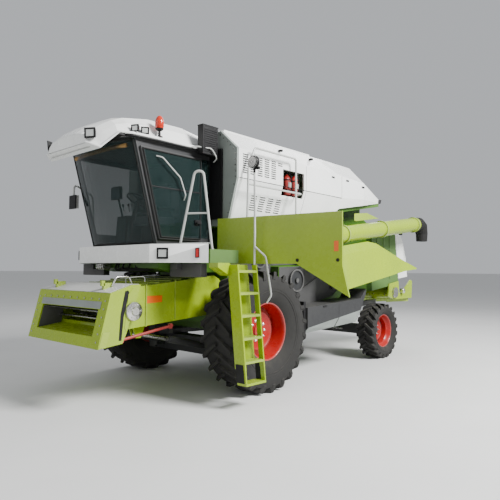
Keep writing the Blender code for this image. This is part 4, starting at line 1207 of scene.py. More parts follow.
# %% Fire extinguishers
mesh, fittings = bmesh.new(), bmesh.new()
for y in (0.855, 1.055):
    bottle = [
        (0, 0), (0, 0.055), (0.012, 0.064), (0.27, 0.064), (0.31, 0.045), (0.325, 0.020), (0.345, 0.018),
        (0.345, 0),
    ]
    turned(mesh, bottle, (1.275, y, 3.045), (0, 0, 1), 28, closed=False)
    turned(fittings, [(0, 0.020), (0.028, 0.020), (0.030, 0)], (1.275, y, 3.388), (0, 0, 1), 16, closed=False)
    slab(fittings, (1.235, y - 0.012, 3.405), (1.335, y + 0.012, 3.418))
    pipe(
        fittings,
        rounded(
            [(1.30, y, 3.395), (1.345, y + 0.02, 3.36), (1.345, y + 0.05, 3.22), (1.325, y + 0.055, 3.12)],
            0.03,
        ),
        0.009,
        8,
    )
    for z in (3.12, 3.29):
        turned(
            fittings,
            [(-0.010, 0.0645), (-0.010, 0.0665), (0.010, 0.0665), (0.010, 0.0645)],
            (1.275, y, z),
            (0, 0, 1),
            28,
        )
    slab(fittings, (1.2003, y - 0.03, 3.06), (1.215, y + 0.03, 3.38))
piece("extinguishers", mesh, RED, bevel=0, slot="red_paint")
piece("extinguisher_fittings", fittings, PLASTIC, bevel=0)
mesh = bmesh.new()
for y in (0.855, 1.055):
    plate(
        mesh,
        [(y - 0.035, 3.16), (y + 0.035, 3.16), (y + 0.035, 3.25), (y - 0.035, 3.25)],
        "X",
        1.3385,
        1.3398,
    )
piece("extinguisher_plates", mesh, TUBE, bevel=0, slot="tube_grey")
print("extinguishers: two")

# %% [markdown]
# ## Front bulkhead of the tank
# The wall between the cab and the tank is white sheet in shade, so its grey is painted shade. It has a
# folded edge and a row of bolts down each side. Both follow the wall's outline, so one walk along it places
# the edge tube and the bolts.

# %% Bulkhead edge
mesh, bolts = bmesh.new(), bmesh.new()
for side in (-1, 1):
    outline = [(1.00, 3.905), (1.352, 3.592), (1.352, 3.16), (1.15, 2.47)]
    for a, b in zip(outline, outline[1:]):
        for t in range(5):
            s = (t + 0.5) / 5
            x, z = a[0] + (b[0] - a[0]) * s - 0.04, a[1] + (b[1] - a[1]) * s - 0.03
            hexagon(bolts, 0.011, 0.007, (side * x, -0.420, z), (0, -1, 0))
        pipe(
            mesh,
            [(side * (a[0] - 0.004), -0.424, a[1] - 0.004), (side * (b[0] - 0.004), -0.424, b[1] - 0.004)],
            0.007,
            8,
        )
# The edge tube is grey too, painted shade like the wall.
piece("bulkhead_edge", mesh, GREY, bevel=0, slot="grey_paint")
piece("bulkhead_bolts", bolts, STEEL, bevel=0, slot="bright_steel")
print("bulkhead: fifteen bolts on each side")

# %% [markdown]
# ## The air box
# The cab's air comes through a black box at the roof's rear corner. It needs a slotted grille, which is a
# stack of thin bars, and a pale hose that comes down beside it.

# %% Air box grille and hose
mesh = bmesh.new()
for k in range(11):
    slab(mesh, (1.0002, -0.76, 3.54 + k * 0.032), (1.0075, -0.50, 3.552 + k * 0.032))
slab(mesh, (0.8803, -0.79, 3.925), (1.003, -0.47, 3.938))
piece("air_box_grille", mesh, PLASTIC, bevel=0.002)
mesh = bmesh.new()
pipe(
    mesh,
    rounded(
        [
            (0.885, -0.90, 3.585), (0.93, -0.84, 3.60), (1.035, -0.64, 3.585), (1.030, -0.52, 3.46),
            (0.93, -0.50, 3.42),
        ],
        0.09,
        8,
    ),
    0.010,
    10,
)
piece("air_box_hose", mesh, TUBE, bevel=0, slot="tube_grey")
print("air box grille: eleven bars")

# %% [markdown]
# ## The engine deck
# The engine sits behind the tank. A round dust screen stands on the right side where the fan draws air,
# and the exhaust leaves through a bent stack. The deck's cover has pressed ribs, and a work lamp looks
# back over the straw.

# %% Screen, stack and rear lamp
mesh = bmesh.new()
for ring in (0.05, 0.10, 0.15, 0.20):
    turned(
        mesh,
        [(0, ring), (0.008, ring), (0.008, ring + 0.008), (0, ring + 0.008)],
        (-1.338, 2.86, 3.36),
        (-1, 0, 0),
        40,
    )
for k in range(16):
    angle = k * math.pi / 8
    a = Vector((-1.341, 2.86, 3.36))
    b = a + Vector((0, math.cos(angle) * 0.205, math.sin(angle) * 0.205))
    pipe(mesh, [a, b], 0.004, 6)
turned(mesh, [(0, 0.0), (0, 0.205), (0.003, 0.205), (0.003, 0)], (-1.336, 2.86, 3.36), (-1, 0, 0), 40)
piece("dust_screen", mesh, PLASTIC, bevel=0)
square_lamp("rear_work_lamp", (1.235, 4.140, 3.275), (0.5, 1, -0.3), 0.09, 0.08, 0.05)
mesh = bmesh.new()
pipe(mesh, rounded([(0.30, 3.72, 3.20), (0.30, 3.72, 3.62), (0.30, 3.84, 3.70)], 0.06), 0.055, 20)
piece("exhaust_stack", mesh, STEEL, bevel=0, slot="bright_steel")
mesh = bmesh.new()
for k in range(8):
    slab(mesh, (-0.46, 2.66 + k * 0.065, 3.762 - k * 0.0021), (0.46, 2.69 + k * 0.065, 3.772 - k * 0.0021))
piece("engine_cover_ribs", mesh, CHARCOAL, bevel=0.003)
print("dust screen, stack, rear lamp and ribs")

# %% [markdown]
# ## The feeder house
# The feeder carries crop up from the header. A slatted chain runs round the drum inside, so the slats
# ride on the drum and turn with it. A hub on the left turns the header's drive shaft.

# %% Drum slats and drive hub
DRUM = Vector((0, -1.72, 1.285))
mesh = bmesh.new()
for k in range(6):
    angle = k * math.pi / 3
    spot = Vector((0, math.cos(angle) * 0.165, math.sin(angle) * 0.165))
    made = slab(mesh, (-0.70, -0.012, -0.004), (0.70, 0.012, 0.022))
    turn = Matrix.Translation(DRUM + spot) @ Matrix.Rotation(angle - math.pi / 2, 4, "X")
    bmesh.ops.transform(mesh, matrix=turn, verts=made)
for x in (-0.50, 0.0, 0.50):
    turned(
        mesh,
        [(-0.015, 0.164), (-0.015, 0.180), (0.015, 0.180), (0.015, 0.164)],
        (x, DRUM.y, DRUM.z),
        (1, 0, 0),
        32,
    )
piece("feed_chain_slats", mesh, STEEL, "drum", bevel=0.002, slot="bright_steel")
mesh = bmesh.new()
turned(
    mesh,
    [(0, 0), (0, 0.118), (0.012, 0.125), (0.030, 0.118), (0.040, 0.060), (0.062, 0.050), (0.062, 0)],
    (0.9306, -1.90, 1.26),
    (1, 0, 0),
    36,
    closed=False,
)
for k in range(6):
    angle = k * math.pi / 3
    at = Vector((0.96, -1.90 + math.cos(angle) * 0.092, 1.26 + math.sin(angle) * 0.092))
    hexagon(mesh, 0.011, 0.012, at, (1, 0, 0))
piece("header_drive_hub", mesh, STEEL, "feeder", bevel=0.0, slot="bright_steel")
print("feed drum and hub")

# %% [markdown]
# ## The mouth frame
# The mouth is a heavy lime frame that the header hangs on. It leans back by a quarter of its height, and
# every bolt and plate on its face leans with it. A pale plate covers its top, with two catch hooks on it.

# %% Top plate, hooks and bolts
MOUTH_LEAN = 0.25  # how far the face goes back for each metre up
mesh = bmesh.new()
plate(
    mesh,
    [(-2.235, 1.502), (-1.925, 1.602), (-1.795, 1.602), (-1.795, 1.607), (-1.927, 1.607), (-2.237, 1.507)],
    "X",
    -0.90,
    0.90,
)
piece("mouth_top_plate", mesh, TUBE, "feeder", bevel=0, slot="tube_grey")
mesh, bolts = bmesh.new(), bmesh.new()
for x in (-0.62, 0.62):
    slab(mesh, (x - 0.02, -2.16, 1.53), (x + 0.02, -2.02, 1.62))
    slab(mesh, (x - 0.02, -2.19, 1.58), (x + 0.02, -2.14, 1.65))
for side in (-1, 1):
    side_plate(mesh, [(-2.40, 0.83), (-2.30, 0.83), (-2.245, 1.02), (-2.345, 1.02)], side, 0.9303, 0.936)
    for k in range(6):
        z = 0.90 + k * 0.10
        y = -2.41 + (z - 0.82) * MOUTH_LEAN
        hexagon(bolts, 0.012, 0.008, (side * 0.86, y, z), (0, -1, MOUTH_LEAN))
for k in range(9):
    hexagon(bolts, 0.012, 0.008, (-0.72 + k * 0.18, -2.263, 1.42), (0, -1, MOUTH_LEAN))
piece("mouth_hooks", mesh, LIME, "feeder", bevel=0.004, slot="lime_paint")
piece("mouth_bolts", bolts, STEEL, "feeder", bevel=0, slot="bright_steel")
print("mouth frame: two hooks and twenty-one bolts")

# %% [markdown]
# ## Guard hoop and lock bar
# A bright hoop on top keeps hands off the lines. The red bar on the left side is the lock that holds the
# feeder up during service; it is a straight tube with a block at each end. The hub has a guard plate in
# front of it.

# %% Hoop, lock bar and hub guard
mesh = bmesh.new()
pipe(
    mesh,
    rounded([(0.66, -2.05, 1.58), (0.66, -1.98, 1.70), (0.66, -1.78, 1.70), (0.66, -1.74, 1.59)], 0.06),
    0.011,
    10,
)
pipe(
    mesh,
    rounded([(0.34, -1.62, 1.60), (0.34, -1.62, 1.68), (0.62, -1.50, 1.70), (0.62, -1.50, 1.63)], 0.05),
    0.010,
    10,
)
piece("guard_hoop", mesh, STEEL, "feeder", bevel=0, slot="bright_steel")
mesh = bmesh.new()
pipe(mesh, [(0.823, -2.03, 0.885), (0.823, -1.17, 1.015)], 0.020, 16)
for y, z in ((-2.0, 0.89), (-1.21, 1.01)):
    slab(mesh, (0.802, y - 0.02, z - 0.035), (0.845, y + 0.02, z + 0.035))
piece("lift_lock_bar", mesh, RED, "feeder", bevel=0.002, slot="red_paint")
mesh = bmesh.new()
plate(
    mesh,
    [(-2.035, 1.06), (-2.01, 1.01), (-1.985, 1.04), (-1.80, 1.575), (-1.91, 1.57), (-1.98, 1.48)],
    "X",
    0.9303,
    0.9345,
)
piece("hub_guard_plate", mesh, LIME, "feeder", bevel=0.001, slot="lime_paint")
print("hoop, lock bar and guard")

# %% [markdown]
# ## The feeder's sides
# A curved black gap runs between the mouth's frame and the feeder behind it. The feeder's sheet has
# pressed ribs and an orange reflector. Nearly everything here is a thin plate on the feeder's side.

# %% Gap, reflectors and ribs
mesh = bmesh.new()
for side in (-1, 1):
    gap = [
        (-2.115, 0.90), (-2.075, 0.90), (-2.045, 1.20), (-1.965, 1.50), (-1.985, 1.53), (-2.03, 1.52),
        (-2.095, 1.22),
    ]
    side_plate(mesh, gap, side, 0.9302, 0.9312)
piece("mouth_gap", mesh, PLASTIC, "feeder", bevel=0)
mesh = bmesh.new()
for side in (-1, 1):
    side_plate(
        mesh,
        [(-1.60, 1.34), (-1.34, 1.35), (-1.34, 1.44), (-1.46, 1.44), (-1.60, 1.44)],
        side,
        0.8003,
        0.803,
    )
piece("feeder_reflectors", mesh, ORANGE, "feeder", bevel=0, slot="amber_lens")
mesh = bmesh.new()
for side in (-1, 1):
    for y0, z0, y1, z1 in ((-1.62, 1.03, -1.60, 1.60), (-1.12, 1.10, -1.10, 1.66)):
        side_plate(mesh, [(y0, z0), (y1, z0), (y1, z1 - 0.01), (y0, z1 - 0.01)], side, 0.8002, 0.812)
for k in range(5):
    slab(mesh, (-0.76, -1.55 + k * 0.19, 1.586 + k * 0.022), (0.76, -1.53 + k * 0.19, 1.604 + k * 0.022))
piece("feeder_ribs", mesh, LIME, "feeder", bevel=0.002, slot="lime_paint")
print("feeder ribs: two a side and five on top")

# %% [markdown]
# ## Inside the mouth
# The mouth is lined with dark sheet that crop has rubbed. Two bright bars cross it, and a grey band
# closes the face above the opening.

# %% Liner, bars and band
mesh = bmesh.new()
for z0, z1 in ((0.9305, 0.934), (1.266, 1.2695)):
    plate(
        mesh,
        [
            (-2.36 + (z0 - 0.93) * MOUTH_LEAN, z0), (-1.98, z0), (-1.98, z1),
            (-2.36 + (z0 - 0.93) * MOUTH_LEAN, z1),
        ],
        "X",
        -0.738,
        0.738,
    )
for side in (-1, 1):
    side_plate(mesh, [(-2.36, 0.936), (-2.02, 0.936), (-1.96, 1.264), (-2.28, 1.264)], side, 0.7365, 0.7395)
piece("mouth_liner", mesh, CHARCOAL, "feeder", bevel=0, slot="charcoal_paint")
mesh = bmesh.new()
for y, z in ((-2.02, 1.13), (-1.95, 1.215)):
    pipe(mesh, [(-0.735, y, z), (0.735, y, z)], 0.016, 12)
piece("mouth_bars", mesh, STEEL, "feeder", bevel=0, slot="bright_steel")
mesh = bmesh.new()
low, high = 1.30, 1.39
front = [
    (-2.41 + (z - 0.82) * MOUTH_LEAN - d, z)
    for z, d in ((low, 0.0006), (high, 0.0006), (high, 0.005), (low, 0.005))
]
plate(mesh, front, "X", -0.78, 0.78)
piece("mouth_front_band", mesh, GREY, "feeder", bevel=0, slot="grey_paint")
print("mouth liner, two bars and the band")

# %% [markdown]
# ## Ladder and handrails
# The treads are folded plates with a raised non-slip edge, and a closed riser behind them keeps mud off.
# The lowest tread hangs on black rubber straps so that it can strike the ground without bending. The
# ladder leans outward toward its foot, so one function gives its place at each height.


# %% Riser, grips and straps
def ladder_x(z):
    """The riser's place at a height, as X."""
    return 1.72 + 0.15 * (1.87 - z) / 1.35


mesh, grips, straps = bmesh.new(), bmesh.new(), bmesh.new()
outline = [(ladder_x(z) + d, z) for z, d in ((1.84, 0.0005), (0.625, 0.0005))] + [
    (ladder_x(0.625) - 0.004, 0.625), (ladder_x(1.84) - 0.004, 1.84)
]
plate(mesh, outline, "Y", -0.975, -0.607)
# The riser is lime; its deep green is painted shade between the treads.
piece("ladder_back", mesh, GREEN, bevel=0, slot="dark_green_paint")
for z in (1.79, 1.50, 1.21, 0.92, 0.62):
    x = ladder_x(z)
    for k in range(3):
        slab(grips, (x + 0.045 + k * 0.05, -0.960, z + 0.0004), (x + 0.060 + k * 0.05, -0.622, z + 0.007))
    slab(grips, (x + 0.1745, -0.968, z - 0.028), (x + 0.1825, -0.614, z + 0.004))
piece("tread_grips", grips, LIME, bevel=0.001, slot="lime_paint")
for y in (-0.985, -0.609):
    low, high = 0.352, 0.585
    outline = [
        (ladder_x(high) + 0.018, high), (ladder_x(high) + 0.150, high), (ladder_x(low) + 0.150, low),
        (ladder_x(low) + 0.018, low),
    ]
    plate(straps, outline, "Y", y - 0.006, y + 0.018)
piece("step_straps", straps, RUBBER, bevel=0.002, slot="rubber")
print("ladder: five treads and two straps")

# %% [markdown]
# ## Mirrors and the platform's floor
# A round mirror stands on the handrail's post and a square one hangs beside the right of the windscreen.
# Both are black shells, and the round one has a bright face. Raised bars on the platform stop a boot from
# slipping.

# %% Mirrors and floor grip
mesh = bmesh.new()
turned(
    mesh,
    [(-0.002, 0), (0.0, 0.074), (0.006, 0.088), (0.050, 0.090), (0.068, 0.060), (0.074, 0)],
    (1.895, -0.703, 3.26),
    (0, 1, 0),
    32,
    closed=False,
)
pipe(mesh, rounded([(1.895, -0.655, 3.12), (1.895, -0.655, 3.18), (1.98, -0.655, 3.17)], 0.02), 0.017, 10)
piece("pole_mirror_shell", mesh, PLASTIC, bevel=0)
mesh = bmesh.new()
turned(mesh, [(0, 0), (0, 0.072), (0.002, 0.072), (0.002, 0)], (1.895, -0.7072, 3.26), (0, 1, 0), 32)
piece("pole_mirror_glass", mesh, STEEL, bevel=0, slot="bright_steel")
mesh = bmesh.new()
slab(mesh, (-1.165, -1.695, 2.755), (-0.965, -1.668, 2.975))
slab(mesh, (-1.158, -1.668, 2.762), (-0.972, -1.628, 2.968))
piece("side_mirror_shell", mesh, PLASTIC, bevel=0.010)
mesh = bmesh.new()
for k in range(7):
    for row in range(5):
        slab(
            mesh, (0.92 + row * 0.12, -1.05 + k * 0.10, 2.0603),
            (0.98 + row * 0.12, -1.03 + k * 0.10, 2.0655),
        )
piece("platform_grip", mesh, STEEL, bevel=0.001, slot="bright_steel")
print("mirrors and floor grip")

# %% [markdown]
# ## The side panels
# The big lime panels are folded sheet: flat outside, with a rolled edge and pressed stiffeners inside.
# The left front one stands open and the others are closed. It is easiest to draw every panel as if it
# were closed and then turn the open one's pieces about its hinge, as the real panel turns.


# %% Panel edges, stiffeners and locks
def swung(side):
    """From the closed panel's place to where it stands at rest."""
    if side < 0:
        return Matrix.Identity(4)
    hinge = Vector((1.25, -0.273, 0))
    return Matrix.Translation(hinge) @ Matrix.Rotation(math.radians(-82), 4, "Z") @ Matrix.Translation(-hinge)


for side, word in ((1, "left"), (-1, "right")):
    turn = swung(side)
    body = "panel_front_" + word
    mesh = bmesh.new()
    outline = [(-0.415, 1.892), (0.88, 1.892), (1.615, 1.480), (1.523, 1.86), (1.523, 2.533), (-0.415, 2.533)]
    for a, b in zip(outline, outline[1:] + outline[:1]):
        pipe(mesh, [(side * 1.5515, a[0], a[1]), (side * 1.5515, b[0], b[1])], 0.0065, 8)
    for y in (0.35, 1.05):
        side_plate(
            mesh,
            [(y - 0.04, 1.97), (y + 0.04, 1.97), (y + 0.03, 2.48), (y - 0.03, 2.48)],
            side,
            1.543,
            1.5548,
        )
    side_plate(mesh, [(-0.36, 2.18), (1.44, 2.18), (1.44, 2.24), (-0.36, 2.24)], side, 1.545, 1.5548)
    mesh.transform(turn)
    # The stiffeners take the lime darkened to a deep green, the same painted shade as the body's sides.
    piece("panel_stiffeners_" + word, mesh, GREEN, body, bevel=0.002, slot="dark_green_paint")
    mesh = bmesh.new()
    side_plate(mesh, [(1.42, 2.04), (1.48, 2.04), (1.48, 2.17), (1.42, 2.17)], side, 1.5802, 1.584)
    mesh.transform(turn)
    piece("panel_reflector_" + word, mesh, ORANGE, body, bevel=0.001, slot="amber_lens")
    mesh = bmesh.new()
    for y, z in ((1.47, 1.93), (0.90, 1.93)):
        turned(
            mesh,
            [(0, 0.022), (0.006, 0.022), (0.006, 0.012), (0.010, 0.012), (0.010, 0)],
            (side * 1.5802, y, z),
            (side, 0, 0),
            20,
            closed=False,
        )
    mesh.transform(turn)
    piece("panel_locks_" + word, mesh, PLASTIC, body, bevel=0)
    front = 2.0 if side > 0 else 1.70
    mesh = bmesh.new()
    pipe(mesh, [(side * 1.520, front + 0.04, 2.125), (side * 1.520, 4.30, 2.125)], 0.006, 8)
    piece("rear_panel_bead_" + word, mesh, LIME, "panel_rear_" + word, bevel=0, slot="lime_paint")
print("panels: stiffeners, reflectors, locks and beads")

# %% [markdown]
# ## Behind the panels
# With a panel open, the machine's flank shows. It is dark there, so flat charcoal sheets line it. They
# stand a few millimetres off the body, as the real guards do.

# %% Dark linings behind the drives
for side, word in ((1, "left"), (-1, "right")):
    mesh = bmesh.new()
    flank = [(-0.085, 1.02), (0.10, 0.86), (0.955, 0.84), (0.955, 2.42), (-0.085, 2.42)]
    side_plate(mesh, flank, side, 0.8403, 0.846)
    guard = [
        (0.97, 1.01), (2.595, 1.31), (3.19, 1.63), (3.19, 2.29), (2.11, 2.29), (2.06, 1.89), (0.97, 1.85)
    ]
    side_plate(mesh, guard, side, 1.0203, 1.0255)
    upper = [(0.97, 1.875), (2.03, 1.915), (2.09, 2.42), (0.97, 2.42)]
    side_plate(mesh, upper, side, 0.8403, 0.846)
    piece("bay_lining_" + word, mesh, CHARCOAL, bevel=0.002, slot="charcoal_paint")
print("bay linings: two")

# %% [markdown]
# ## Pulleys and belts
# Grooved pulleys on the flank carry the drives. A pulley is one turned profile with a groove, a web and a
# boss. The belt is a closed loop: half a turn round one pulley, half a turn round the other, and the
# straight runs between them. One belt on each side is enough to show how the drive works.


# %% Pulleys, belts and flank lines
def pulley(mesh, side, y, z, radius, x):
    groove = [(0, 0.0), (0, radius), (0.012, radius), (0.020, radius - 0.018), (0.032, radius - 0.018)]
    groove += [(0.040, radius), (0.052, radius), (0.052, radius - 0.03)]
    groove += [(0.030, radius - 0.035), (0.030, 0.045), (0.060, 0.045), (0.060, 0)]
    turned(mesh, groove, (side * x, y, z), (side, 0, 0), 36, closed=False)


def belt(mesh, side, wheels, x):
    """A loop round two pulleys of nearly one size."""
    (y0, z0, r0), (y1, z1, r1) = wheels
    lean = math.atan2(z1 - z0, y1 - y0)
    points = []
    for k in range(13):
        angle = lean + math.pi / 2 + math.pi * k / 12
        points.append((side * x, y0 + math.cos(angle) * (r0 - 0.008), z0 + math.sin(angle) * (r0 - 0.008)))
    for k in range(13):
        angle = lean - math.pi / 2 + math.pi * k / 12
        points.append((side * x, y1 + math.cos(angle) * (r1 - 0.008), z1 + math.sin(angle) * (r1 - 0.008)))
    pipe(mesh, points + points[:1], 0.010, 8)


for side, word in ((1, "left"), (-1, "right")):
    mesh, loop = bmesh.new(), bmesh.new()
    places = [(1.42, 1.62, 0.20), (2.22, 1.90, 0.15), (2.62, 1.56, 0.13), (0.62, 1.98, 0.15)]
    for y, z, radius in places:
        pulley(mesh, side, y, z, radius, 1.026 if y > 1.0 else 0.856)
    belt(loop, side, [places[0], places[1]], 1.052)
    piece("pulleys_" + word, mesh, CHARCOAL, bevel=0, slot="charcoal_paint")
    piece("belts_" + word, loop, RUBBER, bevel=0, slot="rubber")
    mesh = bmesh.new()
    for y, z in ((0.20, 1.55), (0.45, 2.20), (0.75, 1.35)):
        pipe(
            mesh,
            rounded(
                [
                    (side * 0.848, y, z), (side * 0.872, y + 0.10, z + 0.10),
                    (side * 0.872, y + 0.30, z + 0.02), (side * 0.850, y + 0.42, z - 0.14),
                ],
                0.08,
            ),
            0.014,
            10,
        )
    pipe(mesh, [(side * 0.862, 0.0, 1.30), (side * 0.862, 0.92, 1.30)], 0.016, 10)
    piece("flank_lines_" + word, mesh, RUBBER, bevel=0, slot="rubber")
print("drives: four pulleys and a belt on each side")

# %% [markdown]
# ## The side boxes
# Below the drives a dark box with a split door closes the bay. Its lower edge is folded in, and that
# facet is pale grey. The facet is drawn as a thin skin from four cross-sections, because its width grows
# to the rear.

# %% Box seams and pale lower facet
for side, word in ((1, "left"), (-1, "right")):
    mesh = bmesh.new()
    for low, high in (
        ((1.5003, 2.10, 1.00), (1.5012, 2.106, 1.22)), ((1.5003, 2.95, 1.08), (1.5012, 2.956, 1.40))
    ):
        outline = [(low[1], low[2]), (high[1], low[2]), (high[1], high[2]), (low[1], high[2])]
        side_plate(mesh, outline, side, low[0], high[0])
    side_plate(mesh, [(1.60, 1.165), (1.70, 1.17), (1.70, 1.195), (1.60, 1.19)], side, 1.5003, 1.512)
    near, far = sorted((side * 1.02, side * 1.47))
    slab(mesh, (near, 1.065, 0.68), (far, 1.125, 1.28))
    piece("side_box_seams_" + word, mesh, PLASTIC, bevel=0)
    mesh = bmesh.new()
    rows = []
    for y, low, crease in (
        (1.16, 0.742, 0.845), (2.09, 0.785, 0.956), (2.12, 0.786, 0.960), (2.855, 0.820, 1.047)
    ):
        inner, outer = Vector((side * 1.3925, y, low)), Vector((side * 1.4975, y, crease))
        out = Vector((side * (crease - low), 0, -0.11)).normalized() * 0.003
        rows.append(
            [
                mesh.verts.new(inner + out * 0.15), mesh.verts.new(outer + out * 0.15),
                mesh.verts.new(outer + out), mesh.verts.new(inner + out),
            ]
        )
    for a, b in ((0, 1), (2, 3)):
        mesh.faces.new(rows[a])
        mesh.faces.new(rows[b])
        for c in range(4):
            n = (c + 1) % 4
            mesh.faces.new((rows[a][c], rows[a][n], rows[b][n], rows[b][c]))
    piece("side_box_strip_" + word, mesh, GREY, bevel=0, slot="grey_paint")
print("side boxes: two")

# %% [markdown]
# ## The rear
# Straw leaves under a tall white cover. The hood in front of it is lime sheet with pressed ribs, darkened
# to a deep green as painted shade, the shade that the auger tube casts on it. The cover is bowed, so a
# function gives its back surface at each height, and lamps and ribs are set on that surface.

# %% Hood ribs
mesh = bmesh.new()
for side in (-1, 1):
    for y in (4.50, 4.80, 5.10):
        side_plate(mesh, [(y, 1.62), (y + 0.05, 1.62), (y + 0.05, 2.70), (y, 2.70)], side, 0.9702, 0.982)
    side_plate(mesh, [(4.34, 2.28), (5.30, 2.28), (5.30, 2.31), (4.34, 2.31)], side, 0.9702, 0.978)
# The ribs take the same darkened lime, painted shade.
piece("straw_hood_ribs", mesh, GREEN, bevel=0.004, slot="dark_green_paint")
print("hood ribs: four a side")

# %% [markdown]
# ## The tail cover
# The cover carries red tail lamps with orange flashers over them, two pressed ribs, a handle and a blank
# number plate. They all ride on the cover, so they lift with it.


# %% Cover lamps, ribs and plate
def on_cover(z):
    """The cover's back surface at a height, as Y."""
    points = [(2.775, 5.395), (2.71, 5.60), (2.58, 5.76), (2.12, 5.97), (1.66, 6.03)]
    for (za, ya), (zb, yb) in zip(points, points[1:]):
        if zb <= z <= za:
            return ya + (yb - ya) * (za - z) / (za - zb)
    return points[-1][1]


lean = Vector((0, 1, 0.13)).normalized()
for side, word in ((1, "left"), (-1, "right")):
    square_lamp(
        "tail_lamp_" + word, (side * 0.80, on_cover(1.86) + 0.010, 1.86), lean, 0.14, 0.24, 0.008,
        "tail_cover", RED_LENS, 0.012,
    )
    square_lamp(
        "tail_flasher_" + word, (side * 0.80, on_cover(2.04) + 0.010, 2.04), lean, 0.14, 0.09, 0.008,
        "tail_cover", ORANGE, 0.012,
    )
mesh = bmesh.new()
for z in (1.90, 2.06):
    pipe(mesh, [(-0.55, on_cover(z) + 0.006, z), (0.55, on_cover(z) + 0.006, z)], 0.010, 10)
slab(mesh, (-0.16, on_cover(1.76), 1.70), (0.16, on_cover(1.76) + 0.022, 1.735))
for side in (-1, 1):
    side_plate(mesh, [(5.58, 1.75), (5.60, 1.75), (5.46, 2.62), (5.44, 2.62)], side, 0.9702, 0.976)
piece("cover_ribs", mesh, WHITE, "tail_cover", bevel=0.003, slot="white_paint")
mesh = bmesh.new()
turn = Matrix.Translation((0, on_cover(2.30) + 0.006, 2.30)) @ facing((0, 1, 0.45))
slab(mesh, (-0.26, -0.002, -0.055), (0.26, 0.006, 0.055))
mesh.transform(turn)
piece("blank_plate", mesh, TUBE, "tail_cover", bevel=0.003, slot="tube_grey")
print("cover foot at Y", round(on_cover(1.66), 3))

# %% [markdown]
# ## The chopper
# A rotor with rows of small knives cuts the straw, and vanes fan out behind it to spread it. The vanes
# bend further outward the further they stand from the middle, up to the tray's side. Motors close the
# rotor's ends.

# %% Vanes, motors and knives
TRAY = 0.955  # half the tray's width inside
mesh, motor = bmesh.new(), bmesh.new()
for k in range(7):
    x = -0.78 + k * 0.26
    path = [(x, 5.32), (x * 1.05, 5.62), (x * 1.15, 5.90), (x * 1.22, 6.12)]
    for a, b in zip(path, path[1:]):
        ax, bx = (max(-TRAY, min(TRAY, end[0])) for end in (a, b))
        plate(
            mesh,
            [(ax - 0.003, a[1]), (ax + 0.003, a[1]), (bx + 0.003, b[1]), (bx - 0.003, b[1])],
            "Z",
            1.060,
            1.138,
        )
piece("spreader_vanes", mesh, LIME, bevel=0, slot="lime_paint")
for side in (-1, 1):
    turned(
        motor,
        [(0, 0), (0, 0.060), (0.08, 0.060), (0.09, 0.050), (0.10, 0.020), (0.10, 0)],
        (side * 1.0053, 5.62, 1.33),
        (side, 0, 0),
        24,
        closed=False,
    )
    turned(
        motor,
        [
            (0, 0), (0, 0.12), (0.014, 0.12), (0.018, 0.10), (0.032, 0.10), (0.036, 0.12), (0.05, 0.12),
            (0.05, 0),
        ],
        (side * 1.0053, 5.27, 1.30),
        (side, 0, 0),
        32,
        closed=False,
    )
piece("chopper_motors", motor, STEEL, bevel=0, slot="bright_steel")
mesh = bmesh.new()
for row in range(4):
    angle = row * math.pi / 2 + 0.3
    for k in range(13):
        x = -0.84 + k * 0.14 + 0.03 * (row % 2)
        at = Vector((x, 5.27 + math.cos(angle) * 0.15, 1.30 + math.sin(angle) * 0.15))
        made = slab(mesh, (-0.003, -0.018, -0.01), (0.003, 0.018, 0.026))
        bmesh.ops.transform(
            mesh, matrix=Matrix.Translation(at) @ Matrix.Rotation(angle - math.pi / 2, 4, "X"), verts=made
        )
piece("chopper_knives", mesh, STEEL, bevel=0, slot="bright_steel")
print("chopper: seven vanes and four rows of knives")

# %% [markdown]
# ## The unloading auger
# The auger folds back along the left side and rises a little to the rear. Its tube is bolted together at
# flanges and turns on a collar at its elbow. The flanges are turned about the tube's own sloping axis.

# %% Flanges, bolts, cable and deck side cover
start, rise = Vector((1.42, 1.80, 2.40)), math.radians(7.3)
run = Vector((0, math.cos(rise), math.sin(rise)))
up = Vector((0, -math.sin(rise), math.cos(rise)))
BOLT_RING = 0.167
mesh, bolts = bmesh.new(), bmesh.new()
for s in (0.55, 2.05, 3.60):
    turned(mesh, [(-0.016, 0.154), (-0.016, 0.178), (0.016, 0.178), (0.016, 0.154)], start + run * s, run, 40)
    for k in range(10):
        angle = 2 * math.pi * k / 10
        aside, above = Vector((math.cos(angle), 0, 0)), up * math.sin(angle)
        at = start + run * (s + 0.016) + aside * BOLT_RING + above * BOLT_RING
        hexagon(bolts, 0.009, 0.007, at, run)
turned(mesh, [(0, 0.155), (0, 0.190), (0.022, 0.190), (0.022, 0.155)], (1.42, 1.80, 2.215), (0, 0, 1), 40)
piece("auger_flanges", mesh, LIME, "auger", bevel=0, slot="lime_paint")
piece("auger_bolts", bolts, STEEL, "auger", bevel=0, slot="bright_steel")
mesh = bmesh.new()
slab(mesh, (1.30, 4.90, 2.605), (1.345, 5.00, 2.66))
pipe(
    mesh,
    rounded([(1.30, 2.0, 2.30), (1.275, 2.3, 2.42), (1.27, 4.0, 2.60), (1.28, 4.9, 2.70)], 0.1),
    0.008,
    8,
)
piece("auger_lamp_cable", mesh, RUBBER, "auger", bevel=0.003, slot="rubber")
mesh = bmesh.new()
plate(mesh, [(3.10, 2.78), (4.03, 2.91), (4.03, 2.925), (3.60, 2.99), (3.10, 2.935)], "X", 1.222, 1.232)
plate(mesh, [(3.10, 2.780), (4.03, 2.908), (4.03, 2.920), (3.10, 2.792)], "X", 1.222, 1.262)
piece("deck_side_cover", mesh, LIME, bevel=0.002, slot="lime_paint")
print("auger: three flanges with ten bolts each")

# %% [markdown]
# ## Axles and steering
# The front axle carries a final drive at each end, with a row of bolts and a brake line. The rear axle is
# steered by one cylinder in its middle, with a rod through it from side to side.

